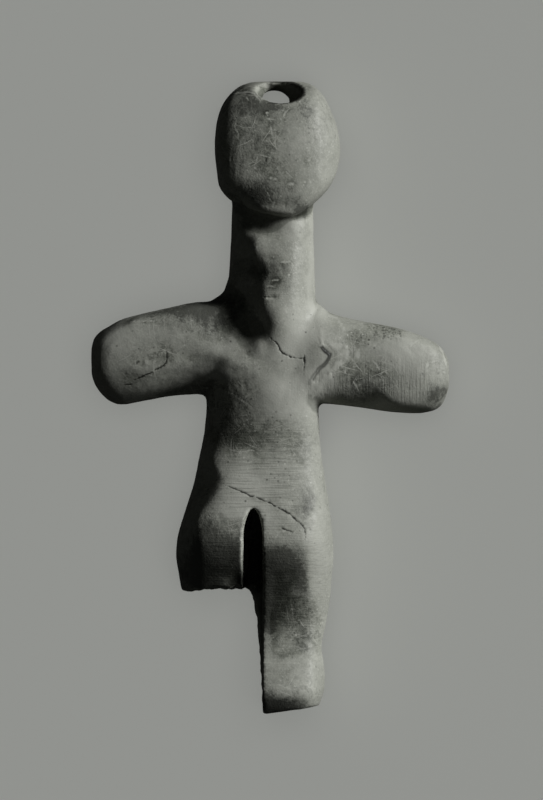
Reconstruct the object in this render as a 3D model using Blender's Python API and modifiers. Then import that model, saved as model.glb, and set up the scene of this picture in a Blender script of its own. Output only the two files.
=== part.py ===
"""Steatite idol: a small cross-shaped pendant figure of soft green-grey stone, lying on its back.

The figure was carved whole from one pebble: an oval blank head on a long neck, two stubby arms
held straight out, and bent legs parted by a sawn slot. A cord hole is drilled from the crown
through to the back of the head. One leg has broken off at the thigh, and it stays missing.

Frame: metres. +Y runs from the foot to the crown, +Z out of the chest, and X across the arms.
The flat of the back rests on z = 0, and the origin is under the middle of the figure.

The free form is given at stations, in hundredths of the figure's length. Holes, slot and web
have sizes of their own.
"""

import math

import bmesh
import bpy
import numpy as np
from mathutils import Vector

# Driving sizes, in metres
FIGURE_LENGTH = 0.090
HOLE_THROAT_RADIUS = 0.0016
HOLE_WEAR_TAPER = math.radians(20)
HOLE_SLOPE = math.radians(30)
SLOT_WIDTH = 0.0029
SLOT_FLARE = 0.0005
WEB_THICKNESS = 0.0036
BACK_GROOVE_WIDTH = 0.0022
BACK_GROOVE_DEPTH = 0.0012

# Hundredths of the figure's length: the unit of the stations below
UNIT = FIGURE_LENGTH / 100

# How finely the joined form is resolved, and how far the joins between limbs are rubbed smooth
VOXEL = FIGURE_LENGTH / 200
RUBBED_RADIUS = 0.6 * UNIT
FACET_SHARE = 0.13
RING_POINTS = 96
RINGS = 120

# Per limb: how square its front is, how crisply the sides of the front are planed off, and how
# much the front is turned to one side
HEAD_SHAPE = (4.0, 0.8, 0.08)
NECK_SHAPE = (2.6, 0.45, 0.0)
TRUNK_SHAPE = (4.0, 0.7, 0.0)
ARMS_SHAPE = (3.2, 0.6, 0.0)
BACK_SQUARENESS = 2.5

# Stations down the figure: level, left, right, front, back, and the two ends of the flat front
HEAD = (
    (50.1, -2.6, 5.3, 4.3, 2.2, -1.5, 4.2),  # ridge of the crown
    (49.5, -4.6, 6.9, 6.2, 1.8, -3.2, 5.6),
    (48.5, -6.1, 7.9, 9.0, 1.6, -4.8, 6.3),
    (47.3, -7.1, 8.7, 11.4, 1.4, -5.6, 6.6),  # brow
    (45.2, -8.2, 9.7, 12.6, 1.2, -6.2, 6.9),
    (42.5, -8.8, 10.7, 13.2, 1.1, -6.6, 7.1),
    (39.2, -9.0, 11.2, 13.6, 1.4, -6.7, 7.2),  # widest
    (35.9, -8.7, 10.7, 13.8, 2.1, -6.5, 6.9),
    (33.4, -8.1, 9.6, 13.9, 3.0, -5.9, 6.2),  # jaw
    (31.6, -6.9, 8.1, 13.8, 4.2, -4.6, 5.0),
    (30.1, -4.9, 6.4, 13.3, 5.8, -2.9, 3.8),
    (29.0, -2.5, 4.9, 12.6, 7.6, -1.0, 2.9),
    (28.2, 0.2, 3.6, 11.6, 9.6, 1.2, 2.6),  # chin
)
NECK = (
    (39.0, -5.6, 6.2, 11.0, 3.4, -1.0, 3.0),  # inside the head
    (30.4, -6.1, 6.9, 11.3, 2.9, -1.2, 3.4),
    (25.0, -6.35, 6.95, 11.8, 2.4, -1.0, 3.8),
    (21.0, -6.6, 7.1, 12.3, 1.9, -1.2, 3.6),
    (17.5, -6.8, 7.2, 12.8, 1.2, -0.8, 3.2),
    (14.0, -6.8, 7.2, 13.0, 0.8, -1.4, 3.0),
    (11.0, -6.6, 6.9, 12.7, 0.8, -2.0, 2.6),
    (8.0, -5.9, 6.2, 12.1, 0.9, -2.2, 2.4),
    (5.0, -4.8, 5.0, 11.4, 1.2, -2.0, 2.0),  # sinks into the chest
    (2.5, -3.4, 3.4, 10.4, 2.0, -1.2, 1.2),
)
TRUNK = (
    (19.8, -6.3, 5.0, 6.6, 3.0, -4.0, 3.0),  # inside the neck
    (18.0, -7.1, 5.8, 7.6, 2.2, -5.0, 4.0),
    (16.6, -8.1, 6.4, 8.6, 1.9, -5.6, 4.4),
    (15.4, -9.4, 7.0, 9.4, 1.4, -6.4, 4.8),  # top of the shoulders
    (13.0, -9.9, 8.2, 10.2, 0.3, -7.0, 5.6),
    (8.0, -10.1, 7.9, 11.2, -0.4, -7.2, 5.6),
    (2.0, -10.2, 7.6, 11.8, -0.4, -7.4, 5.4),  # chest
    (-3.0, -10.4, 7.7, 11.5, -0.35, -7.8, 5.4),
    (-6.5, -10.8, 7.9, 11.1, -0.3, -8.2, 5.8),  # waist
    (-10.0, -11.5, 8.3, 11.6, -0.35, -8.6, 6.3),
    (-13.2, -12.2, 8.75, 12.6, -0.4, -9.0, 6.7),
    (-16.4, -13.1, 9.25, 13.7, -0.45, -9.8, 7.0),  # lap
    (-19.6, -14.1, 9.7, 14.7, -0.35, -11.0, 7.2),
    (-22.6, -14.9, 10.0, 15.2, -0.1, -11.4, 7.2),  # knees
    (-25.0, -15.1, 10.05, 14.7, 0.2, -11.4, 7.2),
    (-28.5, -14.6, 9.8, 13.2, 0.6, -11.2, 7.0),
    (-32.0, -14.0, 9.55, 11.6, 0.9, -11.0, 6.9),
    (-36.0, -13.2, 8.9, 10.1, 1.2, -10.4, 6.4),
    (-39.4, -12.8, 8.25, 9.5, 1.4, -10.0, 6.0),  # ankles
    (-41.8, -13.0, 8.5, 10.6, 1.3, -10.2, 6.0),
    (-44.4, -13.2, 8.75, 12.4, 1.1, -10.4, 6.0),  # insteps
    (-46.6, -13.2, 8.5, 13.1, 1.0, -10.4, 5.8),
    (-48.6, -12.8, 7.9, 12.2, 1.1, -10.0, 5.2),  # toes
    (-51.0, -12.2, 7.3, 9.6, 1.6, -9.4, 4.4),  # past the sole, which is cut flat
)
# Stations across the arms: reach, lower edge, upper edge, front, back, the ends of the flat front
ARMS = (
    (-28.3, 3.6, 7.6, 7.6, 4.0, 4.6, 6.8),  # one hand's end
    (-27.9, 2.3, 9.2, 9.0, 3.2, 4.0, 7.8),
    (-27.0, 0.8, 10.3, 9.9, 2.5, 3.8, 8.8),
    (-25.4, -0.7, 11.3, 10.4, 2.0, 4.2, 9.8),
    (-23.5, -1.25, 12.3, 10.6, 1.7, 4.8, 10.6),
    (-20.0, -0.7, 13.3, 10.7, 1.4, 5.2, 11.6),
    (-15.5, 0.1, 14.3, 10.7, 1.1, 5.6, 12.4),
    (-11.0, 0.4, 15.1, 10.8, 0.8, 6.0, 12.8),
    (-5.0, -0.2, 15.2, 10.9, 0.6, 6.0, 12.6),
    (0.0, -0.6, 14.0, 10.9, 0.5, 5.0, 11.6),  # inside the chest
    (7.0, -0.9, 13.7, 10.8, 0.6, 4.5, 11.4),
    (11.0, -1.1, 12.8, 10.6, 0.9, 4.2, 10.8),
    (15.5, -1.7, 11.9, 10.4, 1.2, 4.0, 10.0),
    (20.0, -2.3, 11.0, 10.3, 1.5, 3.6, 9.2),
    (23.0, -2.45, 10.1, 10.1, 1.8, 3.4, 8.4),
    (25.3, -2.2, 9.1, 9.9, 2.1, 3.2, 7.6),
    (26.9, -1.5, 8.1, 9.4, 2.6, 3.0, 6.6),
    (27.8, -0.2, 6.8, 8.6, 3.3, 3.0, 5.4),
    (28.3, 1.4, 5.6, 7.5, 4.0, 3.0, 4.4),  # the other hand's end
)

# Places of the cuts, in units: across, along, up
THROAT = (0.9, 47.1, 4.6)
MOUTH_LEAN = 0.06
SLOT_TOP = -17.4
SLOT_ARCH = 4.8
SLOT_CENTRE = -2.75
SLOT_LEAN = 0.45
BREAK_LEVEL = -30.5
BREAK_CORNER = (1.0, 1.3)
BREAK_SLANT = 0.04
BREAK_RIPPLE = 0.12
# Waves of the broken face: how fast each runs across and in depth, and its share of the ripple
BREAK_WAVES = ((1.7, 0.9, 1.0), (2.9, -1.3, 0.7))
BREAK_CHIP = (-6.4, -30.9, 13.9)
BREAK_CHIP_RADII = (2.5, 2.7, 1.6)
# The torn edge of the web runs down the inside of the leg that is left
WEB_EDGE_FOOT = (-1.35, -51.5)
SOLE_HEEL = (-1.3, -50.0)
SOLE_EDGE = (7.5, -48.8)
# Where the back of the legs leaves the flat, and how high it is at the foot
LEG_BACK = ((-32.0, 0.9), (-60.0, 1.4))
CLEAR_OF_STONE = 30

# Edges sharper than this are left unsmoothed in the shading
CREASE_ANGLE = math.radians(32)
STONE_COLOUR = (0.23, 0.25, 0.19, 1.0)
STONE_ROUGHNESS = 0.42


def new_object(name, mesh, collection):
    """An object that holds the mesh, in the collection."""
    made = bpy.data.objects.new(name, mesh)
    collection.objects.link(made)
    return made


def skinned(name, rings):
    """A closed mesh through rings of points, an array of rings by points by xyz, with capped ends."""
    count, around, _ = rings.shape
    index = np.arange(count * around).reshape(count, around)
    nearer, farther = index[:-1], index[1:]
    sides = np.stack(
        [nearer, np.roll(nearer, -1, 1), np.roll(farther, -1, 1), farther], axis=-1
    ).reshape(-1, 4)
    mesh = bpy.data.meshes.new(name)
    mesh.from_pydata(
        rings.reshape(-1, 3).tolist(),
        [],
        [*sides.tolist(), index[0].tolist(), index[-1].tolist()],
    )
    shell = bmesh.new()
    shell.from_mesh(mesh)
    bmesh.ops.recalc_face_normals(shell, faces=shell.faces)
    shell.to_mesh(mesh)
    shell.free()
    return mesh


def flowing(stations, count):
    """Rows between the stations on a monotone cubic, which never swings past a station."""
    stations = np.array(stations, float)
    place = np.linspace(0, 1, count) * (len(stations) - 1)
    gap = np.diff(stations, axis=0)
    same_way = gap[:-1] * gap[1:] > 0
    total = np.where(same_way, gap[:-1] + gap[1:], 1)
    inner = np.where(same_way, 2 * gap[:-1] * gap[1:] / total, 0)
    slope = np.vstack([gap[:1], inner, gap[-1:]])
    k = np.minimum(place.astype(int), len(gap) - 1)
    u = (place - k)[:, None]
    return (
        (1 + 2 * u) * (1 - u) ** 2 * stations[k]
        + u * (1 - u) ** 2 * slope[k]
        + u**2 * (3 - 2 * u) * stations[k + 1]
        + u**2 * (u - 1) * slope[k + 1]
    )


def limb(stations, shape, along_x=False):
    """Rings of a limb: at each row a squared ellipse whose front is planed flat between two ends."""
    squareness, crispness, turn = shape
    rows = flowing(stations, RINGS)
    level, left, right, front, back, flat_left, flat_right = (c[:, None] for c in rows.T)
    angle = np.linspace(0, 2 * math.pi, RING_POINTS, endpoint=False)[None, :]
    across, up = np.cos(angle), np.sin(angle)
    power = 2 / np.where(up > 0, squareness, BACK_SQUARENESS)
    half_width, half_depth = (right - left) / 2, (front - back) / 2
    side = half_width * np.sign(across) * np.abs(across) ** power
    depth = half_depth * np.sign(up) * np.abs(up) ** power
    # The planed side runs from the end of the flat front down to the widest place of the section
    slant = np.where(side > 0, right - flat_right, flat_left - left)
    beyond = (half_depth * np.abs(side) + slant * depth) / (half_depth * half_width)
    drawn_in = 1 - crispness * (1 - 1 / np.maximum(beyond, 1))
    drawn_in = np.where(depth > 0, drawn_in, 1)
    side, depth = side * drawn_in, depth * drawn_in
    depth = depth + (front + back) / 2 + turn * side * np.maximum(up, 0)
    side = side + (left + right) / 2
    level = np.broadcast_to(level, side.shape)
    order = (level, side, depth) if along_x else (side, level, depth)
    return np.stack(order, axis=-1) * UNIT


def carved_form(collection):
    """Head, neck, trunk and arms in one mesh, fused to one skin whose joins are rubbed smooth."""
    shell = bmesh.new()
    for name, rings in (
        ("head", limb(HEAD, HEAD_SHAPE)),
        ("neck", limb(NECK, NECK_SHAPE)),
        ("trunk", limb(TRUNK, TRUNK_SHAPE)),
        ("arms", limb(ARMS, ARMS_SHAPE, along_x=True)),
    ):
        piece = skinned(name, rings)
        shell.from_mesh(piece)
        bpy.data.meshes.remove(piece)
    mesh = bpy.data.meshes.new("idol")
    shell.to_mesh(mesh)
    shell.free()
    form = new_object("idol", mesh, collection)
    fuse = form.modifiers.new("fuse", "REMESH")
    fuse.mode = "VOXEL"
    fuse.voxel_size = VOXEL
    rub = form.modifiers.new("rub", "SMOOTH")
    rub.factor = 0.5
    # Each pass at half strength spreads a point's place over a quarter of a voxel squared
    rub.iterations = round(4 * (RUBBED_RADIUS / VOXEL) ** 2)
    thin = form.modifiers.new("thin", "DECIMATE")
    thin.ratio = FACET_SHARE
    return form


def slot_cutter(collection):
    """The sawn slot between the legs: an arch at its top, open at the foot, down to the web."""
    half = SLOT_WIDTH / 2 / UNIT
    floor = WEB_THICKNESS / UNIT
    arc = np.linspace(0, math.pi, 17)
    rings = []
    # The floor is a saw's round edge, and the left wall flares towards the front
    for depth, half_here, flare in (
        (floor, 0.75 * half, 0.0),
        (floor + half, half, 0.0),
        (CLEAR_OF_STONE, half, SLOT_FLARE / UNIT),
    ):
        reach = np.where(np.cos(arc) > 0, half_here, half_here + flare)
        rise = SLOT_ARCH + half_here - half
        x = np.concatenate([reach * np.cos(arc) - SLOT_LEAN * np.sin(arc), [-half_here - flare, half_here]])
        y = np.concatenate([SLOT_TOP - SLOT_ARCH + rise * np.sin(arc), [-2 * CLEAR_OF_STONE] * 2])
        rings.append(np.stack([SLOT_CENTRE + x, y, np.full_like(x, depth)], axis=-1))
    return new_object("slot", skinned("slot", np.array(rings) * UNIT), collection)


def back_groove_cutter(collection):
    """The shallow groove that parts the legs behind: a wedge that comes up into the back."""
    half = BACK_GROOVE_WIDTH / 2 / UNIT
    deep = BACK_GROOVE_DEPTH / UNIT
    rings = []
    # Level, height of the back there, and how far the wedge's edge stands above it, as a share
    for level, back, rise in (
        (SLOT_TOP, 0.0, -0.5),
        (SLOT_TOP - SLOT_ARCH, 0.0, 0.5),
        *((level, back, 1.0) for level, back in LEG_BACK),
    ):
        foot = half * (rise + 1)
        x = SLOT_CENTRE + np.array([-foot, 0.0, foot])
        z = back + deep * np.array([-1.0, rise, -1.0])
        rings.append(np.stack([x, np.full_like(x, level), z], axis=-1))
    return new_object("back_groove", skinned("back_groove", np.array(rings) * UNIT), collection)


def break_cutter(collection):
    """What has broken away: the left leg below the thigh, and the web beside the right leg."""
    corner_width, corner_drop = BREAK_CORNER
    left = np.linspace(-CLEAR_OF_STONE, SLOT_CENTRE - corner_width, 19)
    turn = np.linspace(0, math.pi / 2, 6)[1:]
    turn_x = SLOT_CENTRE + corner_width * (np.sin(turn) - 1)
    turn_y = BREAK_LEVEL - corner_drop * (1 - np.cos(turn))
    foot_x, foot_y = WEB_EDGE_FOOT
    x = np.concatenate([left, turn_x, [foot_x, foot_x, -CLEAR_OF_STONE]])
    y = np.concatenate(
        [np.full_like(left, BREAK_LEVEL), turn_y, [foot_y, -2 * CLEAR_OF_STONE, -2 * CLEAR_OF_STONE]]
    )
    rough = x < SLOT_CENTRE
    rough[-1] = False
    rings = []
    for depth in np.linspace(-2, CLEAR_OF_STONE, 33):
        ripple = sum(
            share * np.sin(across * x + inward * depth) for across, inward, share in BREAK_WAVES
        )
        level = y + rough * (BREAK_SLANT * max(depth, 0) + BREAK_RIPPLE * ripple)
        rings.append(np.stack([x, level, np.full_like(x, depth)], axis=-1))
    return new_object("break", skinned("break", np.array(rings) * UNIT), collection)


def break_chip_cutter(collection):
    """A flake that came off the front edge of the break: an ellipsoid sunk into that edge."""
    shell = bmesh.new()
    bmesh.ops.create_icosphere(shell, subdivisions=3, radius=1)
    bmesh.ops.scale(shell, vec=Vector(BREAK_CHIP_RADII) * UNIT, verts=shell.verts)
    bmesh.ops.translate(shell, vec=Vector(BREAK_CHIP) * UNIT, verts=shell.verts)
    mesh = bpy.data.meshes.new("break_chip")
    shell.to_mesh(mesh)
    shell.free()
    return new_object("break_chip", mesh, collection)


def block(name, low, high, collection):
    """A box between two corners, in metres."""
    mesh = bpy.data.meshes.new(name)
    shell = bmesh.new()
    bmesh.ops.create_cube(shell, size=1)
    low, high = Vector(low), Vector(high)
    bmesh.ops.scale(shell, vec=high - low, verts=shell.verts)
    bmesh.ops.translate(shell, vec=(low + high) / 2, verts=shell.verts)
    shell.to_mesh(mesh)
    shell.free()
    return new_object(name, mesh, collection)


def sole_cutter(collection):
    """All that lies below the slanting sole of the foot."""
    wide = CLEAR_OF_STONE * UNIT
    cutter = block("sole", (-wide, -wide, -wide), (wide, 0, wide), collection)
    run = Vector(SOLE_EDGE) - Vector(SOLE_HEEL)
    cutter.location = (SOLE_HEEL[0] * UNIT, SOLE_HEEL[1] * UNIT, 0)
    cutter.rotation_euler.z = math.atan2(run.y, run.x)
    return cutter


def rest_cutter(collection):
    """All that lies below the flat of the back."""
    wide = 2 * CLEAR_OF_STONE * UNIT
    return block("rest", (-wide, -wide, -wide), (wide, wide, 0), collection)


def drilled_cone(name, direction, collection):
    """One half of the cord hole: a cone that opens from the throat along the direction."""
    throat = Vector(THROAT) * UNIT
    reach = CLEAR_OF_STONE / 2 * UNIT
    overlap = HOLE_THROAT_RADIUS / 2
    taper = math.tan(HOLE_WEAR_TAPER)
    shell = bmesh.new()
    bmesh.ops.create_cone(
        shell,
        cap_ends=True,
        segments=32,
        radius1=HOLE_THROAT_RADIUS,
        radius2=HOLE_THROAT_RADIUS + (reach + overlap) * taper,
        depth=reach + overlap,
    )
    mesh = bpy.data.meshes.new(name)
    shell.to_mesh(mesh)
    shell.free()
    cutter = new_object(name, mesh, collection)
    cutter.rotation_mode = "QUATERNION"
    cutter.rotation_quaternion = direction.to_track_quat("Z", "Y")
    cutter.location = throat + direction * (reach - overlap) / 2
    return cutter


def cord_hole_cutters(collection):
    """The hole was drilled from both ends, so it is an hourglass that slopes from crown to nape."""
    towards_crown = Vector((MOUTH_LEAN, math.sin(HOLE_SLOPE), math.cos(HOLE_SLOPE)))
    towards_crown.normalize()
    return [
        drilled_cone("hole_from_crown", towards_crown, collection),
        drilled_cone("hole_from_nape", -towards_crown, collection),
    ]


def shade_by_angle(form):
    """Shades the form smooth, but for edges sharper than the crease angle, as its last modifier."""
    group = bpy.data.node_groups.new("shade_by_angle", "GeometryNodeTree")
    for way in ("INPUT", "OUTPUT"):
        group.interface.new_socket("Geometry", in_out=way, socket_type="NodeSocketGeometry")
    start = group.nodes.new("NodeGroupInput")
    end = group.nodes.new("NodeGroupOutput")
    faces = group.nodes.new("GeometryNodeSetShadeSmooth")
    edges = group.nodes.new("GeometryNodeSetShadeSmooth")
    edges.domain = "EDGE"
    edges.inputs["Shade Smooth"].default_value = False
    angle = group.nodes.new("GeometryNodeInputMeshEdgeAngle")
    sharp = group.nodes.new("FunctionNodeCompare")
    sharp.operation = "GREATER_THAN"
    sharp.inputs["B"].default_value = CREASE_ANGLE
    group.links.new(start.outputs["Geometry"], faces.inputs["Geometry"])
    group.links.new(faces.outputs["Geometry"], edges.inputs["Geometry"])
    group.links.new(angle.outputs["Unsigned Angle"], sharp.inputs["A"])
    group.links.new(sharp.outputs["Result"], edges.inputs["Selection"])
    group.links.new(edges.outputs["Geometry"], end.inputs["Geometry"])
    shading = form.modifiers.new("shade_by_angle", "NODES")
    shading.node_group = group


def stone():
    """Polished soft stone, green-grey."""
    material = bpy.data.materials.new("steatite")
    material.use_nodes = True
    shader = material.node_tree.nodes["Principled BSDF"]
    shader.inputs["Base Color"].default_value = STONE_COLOUR
    shader.inputs["Roughness"].default_value = STONE_ROUGHNESS
    shader.inputs["Metallic"].default_value = 0.0
    return material


def main():
    """Builds the idol and the cutters that shape it."""
    for old in list(bpy.data.objects):
        bpy.data.objects.remove(old)
    figure = bpy.data.collections.new("steatite_idol")
    cutters = bpy.data.collections.new("cutters")
    for collection in (figure, cutters):
        bpy.context.scene.collection.children.link(collection)
    idol = carved_form(figure)
    tools = [
        slot_cutter(cutters),
        back_groove_cutter(cutters),
        break_cutter(cutters),
        break_chip_cutter(cutters),
        *cord_hole_cutters(cutters),
        sole_cutter(cutters),
        rest_cutter(cutters),
    ]
    for tool in tools:
        tool.hide_render = True
        tool.display_type = "WIRE"
        cut = idol.modifiers.new(tool.name, "BOOLEAN")
        cut.operation = "DIFFERENCE"
        cut.object = tool
    shade_by_angle(idol)
    idol.data.materials.append(stone())


main()
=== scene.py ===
"""Looks of the steatite idol: the carved stone, its wear and cracks, its finish, and the studio.

The stone is worked out again from the same stations as the plain solid, cut by the same tools,
and then worked finer: hand-ground unevenness, tool marks, cracks, chips and pits, each set where
the photograph shows it. Places of marks are in pixels of the photograph, sizes in metres, and
the stations and the cutters in hundredths of the figure's length.
"""

import itertools
import logging
import math
from dataclasses import dataclass, field
from enum import Enum

import bpy
import numpy as np
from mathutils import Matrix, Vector


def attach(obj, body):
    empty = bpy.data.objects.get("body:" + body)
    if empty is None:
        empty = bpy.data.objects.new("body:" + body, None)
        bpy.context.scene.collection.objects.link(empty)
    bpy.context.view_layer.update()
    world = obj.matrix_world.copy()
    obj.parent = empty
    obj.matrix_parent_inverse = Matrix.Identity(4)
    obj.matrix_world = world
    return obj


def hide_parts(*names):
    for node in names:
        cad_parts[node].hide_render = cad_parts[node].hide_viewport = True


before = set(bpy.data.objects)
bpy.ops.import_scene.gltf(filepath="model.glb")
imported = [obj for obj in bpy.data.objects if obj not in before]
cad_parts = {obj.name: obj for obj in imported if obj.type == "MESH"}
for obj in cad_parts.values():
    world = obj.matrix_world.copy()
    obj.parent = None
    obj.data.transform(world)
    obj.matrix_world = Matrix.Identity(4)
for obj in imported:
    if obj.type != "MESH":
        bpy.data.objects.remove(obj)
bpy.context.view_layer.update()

Socket = bpy.types.NodeSocket
# The points and the faces of a closed shape
Skin = tuple[np.ndarray, list]
LOG = logging.getLogger("idol")
FIGURE_LENGTH = 0.090
UNIT = FIGURE_LENGTH / 100
MM = 0.001
# A distance in pixels past every mark
FAR = 1e9
# How the strength of the stains and of the painted shade and light is stored: none at all, and the
# step for a strength of 1
STAIN_SHADE_LIGHT_NONE = 0.4
STAIN_SHADE_LIGHT_STEP = 0.2


@dataclass(frozen=True)
class Photograph:
    """How the photograph's pixels lie on the stone: a camera straight above, a long way off."""

    width: int = 543
    height: int = 800
    figure_pixels: float = 632.0
    distance: float = 0.8
    plane: float = 0.006
    origin: tuple[float, float] = (270.0, 397.0)

    @property
    def pixel(self) -> float:
        """Size of a pixel on the stone, in metres."""
        return FIGURE_LENGTH / self.figure_pixels

    @property
    def aim(self) -> tuple[float, float, float]:
        """The point on the stone at the middle of the photograph.

        Returns:
            The point, in metres.
        """
        across = (self.width / 2 - self.origin[0]) * self.pixel
        along = (self.origin[1] - self.height / 2) * self.pixel
        return across, along, self.plane

    def pixels(self, points: np.ndarray) -> np.ndarray:
        """Where points show in the photograph: their run from the aim, enlarged as they rise.

        Args:
            points: places in metres, one row each.

        Returns:
            The pixel across and down, one row for each point.
        """
        enlarged = self.distance / (self.distance - (points[:, 2] - self.plane)) / self.pixel
        across = self.width / 2 + (points[:, 0] - self.aim[0]) * enlarged
        down = self.height / 2 - (points[:, 1] - self.aim[1]) * enlarged
        return stacked(across, down)


PHOTO = Photograph()


def stacked(*columns: object) -> np.ndarray:
    """Columns side by side, each stretched to fit, such as x, y and z into points."""
    return np.stack(np.broadcast_arrays(*columns), axis=-1)


def smooth_step(value: np.ndarray, low: float, high: float) -> np.ndarray:
    """A ramp from 0 at low to 1 at high, with soft ends: t squared times (3 - 2t).

    Args:
        value: what is ramped.
        low: where the ramp starts.
        high: where it ends; it may be below low for a falling ramp.

    Returns:
        The ramp's value at each entry.
    """
    t = np.clip((value - low) / (high - low), 0, 1)
    return t * t * (3 - 2 * t)


def lattice_noise(places: np.ndarray, seed: int) -> np.ndarray:
    """Smooth noise: random values at whole-number places, blended between by 6t^5 - 15t^4 + 10t^3.

    Args:
        places: one row of two or three coordinates each, in widths of the pattern.
        seed: picks the pattern.

    Returns:
        One value from -1 to 1 for each row.
    """
    cell = np.floor(places).astype(np.int64)
    t = places - cell
    t = t**3 * (t * (t * 6 - 15) + 10)
    total = np.zeros(len(places))
    primes = np.array([73856093, 19349663, 83492791])[: places.shape[1]]
    for corner in itertools.product((0, 1), repeat=places.shape[1]):
        corner = np.array(corner)
        mixed = ((cell + corner) * primes).sum(axis=1) + seed * 40503
        mixed = (mixed ^ (mixed >> 13)) * 1274126177 & 0xFFFFFFFF
        mixed = (mixed ^ (mixed >> 15)) * 2246822519 & 0xFFFFFFFF
        value = ((mixed ^ (mixed >> 16)) & 0xFFFFFF) / 0x7FFFFF - 1
        total += value * np.where(corner, t, 1 - t).prod(axis=1)
    return total


def cloudy(places: np.ndarray, seed: int, octaves: int = 3) -> np.ndarray:
    """Layers of lattice noise, each half as wide and half as strong as the last.

    Args:
        places: one row each, in widths of the broadest pattern.
        seed: picks the pattern.
        octaves: how many layers.

    Returns:
        One value, about -1 to 1, for each row.
    """
    layers = [lattice_noise(places * 2**k, seed + 17 * k) / 2**k for k in range(octaves)]
    return sum(layers) / (2 - 2.0 ** (1 - octaves)) * 1.5


@dataclass(frozen=True)
class Shell:
    """A skin of triangles held as arrays, with the sums that working on it needs."""

    points: np.ndarray
    faces: np.ndarray

    def edges(self) -> tuple[np.ndarray, np.ndarray]:
        """Finds the edges.

        Returns:
            The edges, as pairs of points, and the three edges of each face.
        """
        ends = np.sort(self.faces[:, [[0, 1], [1, 2], [2, 0]]].reshape(-1, 2), axis=1)
        keys, index = np.unique(ends[:, 0] * len(self.points) + ends[:, 1], return_inverse=True)
        return stacked(keys // len(self.points), keys % len(self.points)), index.reshape(-1, 3)

    def normals(self) -> np.ndarray:
        """The way out at each point: its faces' area-weighted normals summed, made unit length.

        Returns:
            One unit row for each point.
        """
        a, b, c = (self.points[self.faces[:, k]] for k in range(3))
        facing = np.cross(b - a, c - a)
        corners, count = self.faces.ravel(), len(self.points)
        total = stacked(*(np.bincount(corners, np.repeat(way, 3), count) for way in facing.T))
        return total / np.maximum(np.linalg.norm(total, axis=1, keepdims=True), 1e-30)

    def averaged(self, values: np.ndarray, rounds: int, share: float = 0.5) -> np.ndarray:
        """Values relaxed over the skin: each round moves one towards its neighbours' mean.

        Args:
            values: one number or row for each point.
            rounds: how many times.
            share: how far each round moves it, 0 to 1.

        Returns:
            The relaxed values, in the shape they came in.
        """
        pairs, _ = self.edges()
        near = np.concatenate([pairs[:, 0], pairs[:, 1]])
        far = np.concatenate([pairs[:, 1], pairs[:, 0]])
        count = np.maximum(np.bincount(near, minlength=len(self.points)), 1)
        table = values.reshape(len(self.points), -1).astype(float)
        for _ in range(rounds):
            sums = (np.bincount(near, column[far], len(self.points)) for column in table.T)
            mean = stacked(*sums) / count[:, None]
            table = table + share * (mean - table)
        return table.reshape(values.shape)

    def split(self, wanted: np.ndarray) -> "Shell":
        """Halves every edge longer than is wanted there, and divides the faces beside it to suit.

        A new point stands off its edge's middle by half the mean of what the two ends' tangent
        planes say, so a round surface stays round.

        Args:
            wanted: the edge length wanted at each point, in metres.

        Returns:
            The finer skin.
        """
        pairs, sides = self.edges()
        a, b = self.points[pairs[:, 0]], self.points[pairs[:, 1]]
        long = np.linalg.norm(b - a, axis=1) > wanted[pairs].mean(axis=1)
        normals = self.normals()
        na, nb = normals[pairs[long, 0]], normals[pairs[long, 1]]
        a, b = a[long], b[long]
        middle = (a + b) / 2
        lift = ((a - middle) * na).sum(1, keepdims=True) * na
        lift = lift + ((b - middle) * nb).sum(1, keepdims=True) * nb
        middle = middle + lift / 4
        added = np.full(len(pairs), -1)
        added[long] = len(self.points) + np.arange(len(middle))
        new = added[sides]
        cut = new >= 0
        count = cut.sum(axis=1)
        faces = [self.faces[count == 0]]
        whole = count == 3
        (v0, v1, v2), (m0, m1, m2) = self.faces[whole].T, new[whole].T
        faces += [stacked(*t) for t in ((v0, m0, m2), (m0, v1, m1), (m2, m1, v2), (m0, m1, m2))]
        for kind, first in ((1, cut.argmax(axis=1)), (2, (cut.argmin(axis=1) + 1) % 3)):
            chosen = count == kind
            turn = (first[chosen, None] + np.arange(3)) % 3
            v0, v1, v2 = np.take_along_axis(self.faces[chosen], turn, 1).T
            m0, m1, _ = np.take_along_axis(new[chosen], turn, 1).T
            if kind == 1:
                faces += [stacked(*t) for t in ((v0, m0, v2), (m0, v1, v2))]
            else:
                faces += [stacked(*t) for t in ((m0, v1, m1), (v0, m0, m1), (v0, m1, v2))]
        return Shell(np.concatenate([self.points, middle]), np.concatenate(faces))


def new_mesh(name: str, points: np.ndarray, faces: list) -> bpy.types.Mesh:
    """A mesh with these points and faces.

    Args:
        name: what it is called.
        points: places in metres, one row each.
        faces: lists of point numbers.

    Returns:
        The mesh.
    """
    mesh = bpy.data.meshes.new(name)
    mesh.from_pydata(points.tolist(), [], faces)
    mesh.validate()
    return mesh


def new_object(name: str, mesh: bpy.types.ID) -> bpy.types.Object:
    """Puts an object that holds the mesh in the scene.

    Args:
        name: what it is called.
        mesh: its mesh, or a light's or a camera's data.

    Returns:
        The object.
    """
    made = bpy.data.objects.new(name, mesh)
    bpy.context.scene.collection.objects.link(made)
    return made


def ring_sides(count: int, around: int) -> np.ndarray:
    """The quads between neighbouring rings of a grid of points.

    Args:
        count: how many rings.
        around: how many points each has.

    Returns:
        Four point numbers for each quad.
    """
    index = np.arange(count * around).reshape(count, around)
    nearer, farther = index[:-1], index[1:]
    sides = stacked(nearer, np.roll(nearer, -1, 1), np.roll(farther, -1, 1), farther)
    return sides.reshape(-1, 4)


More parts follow.
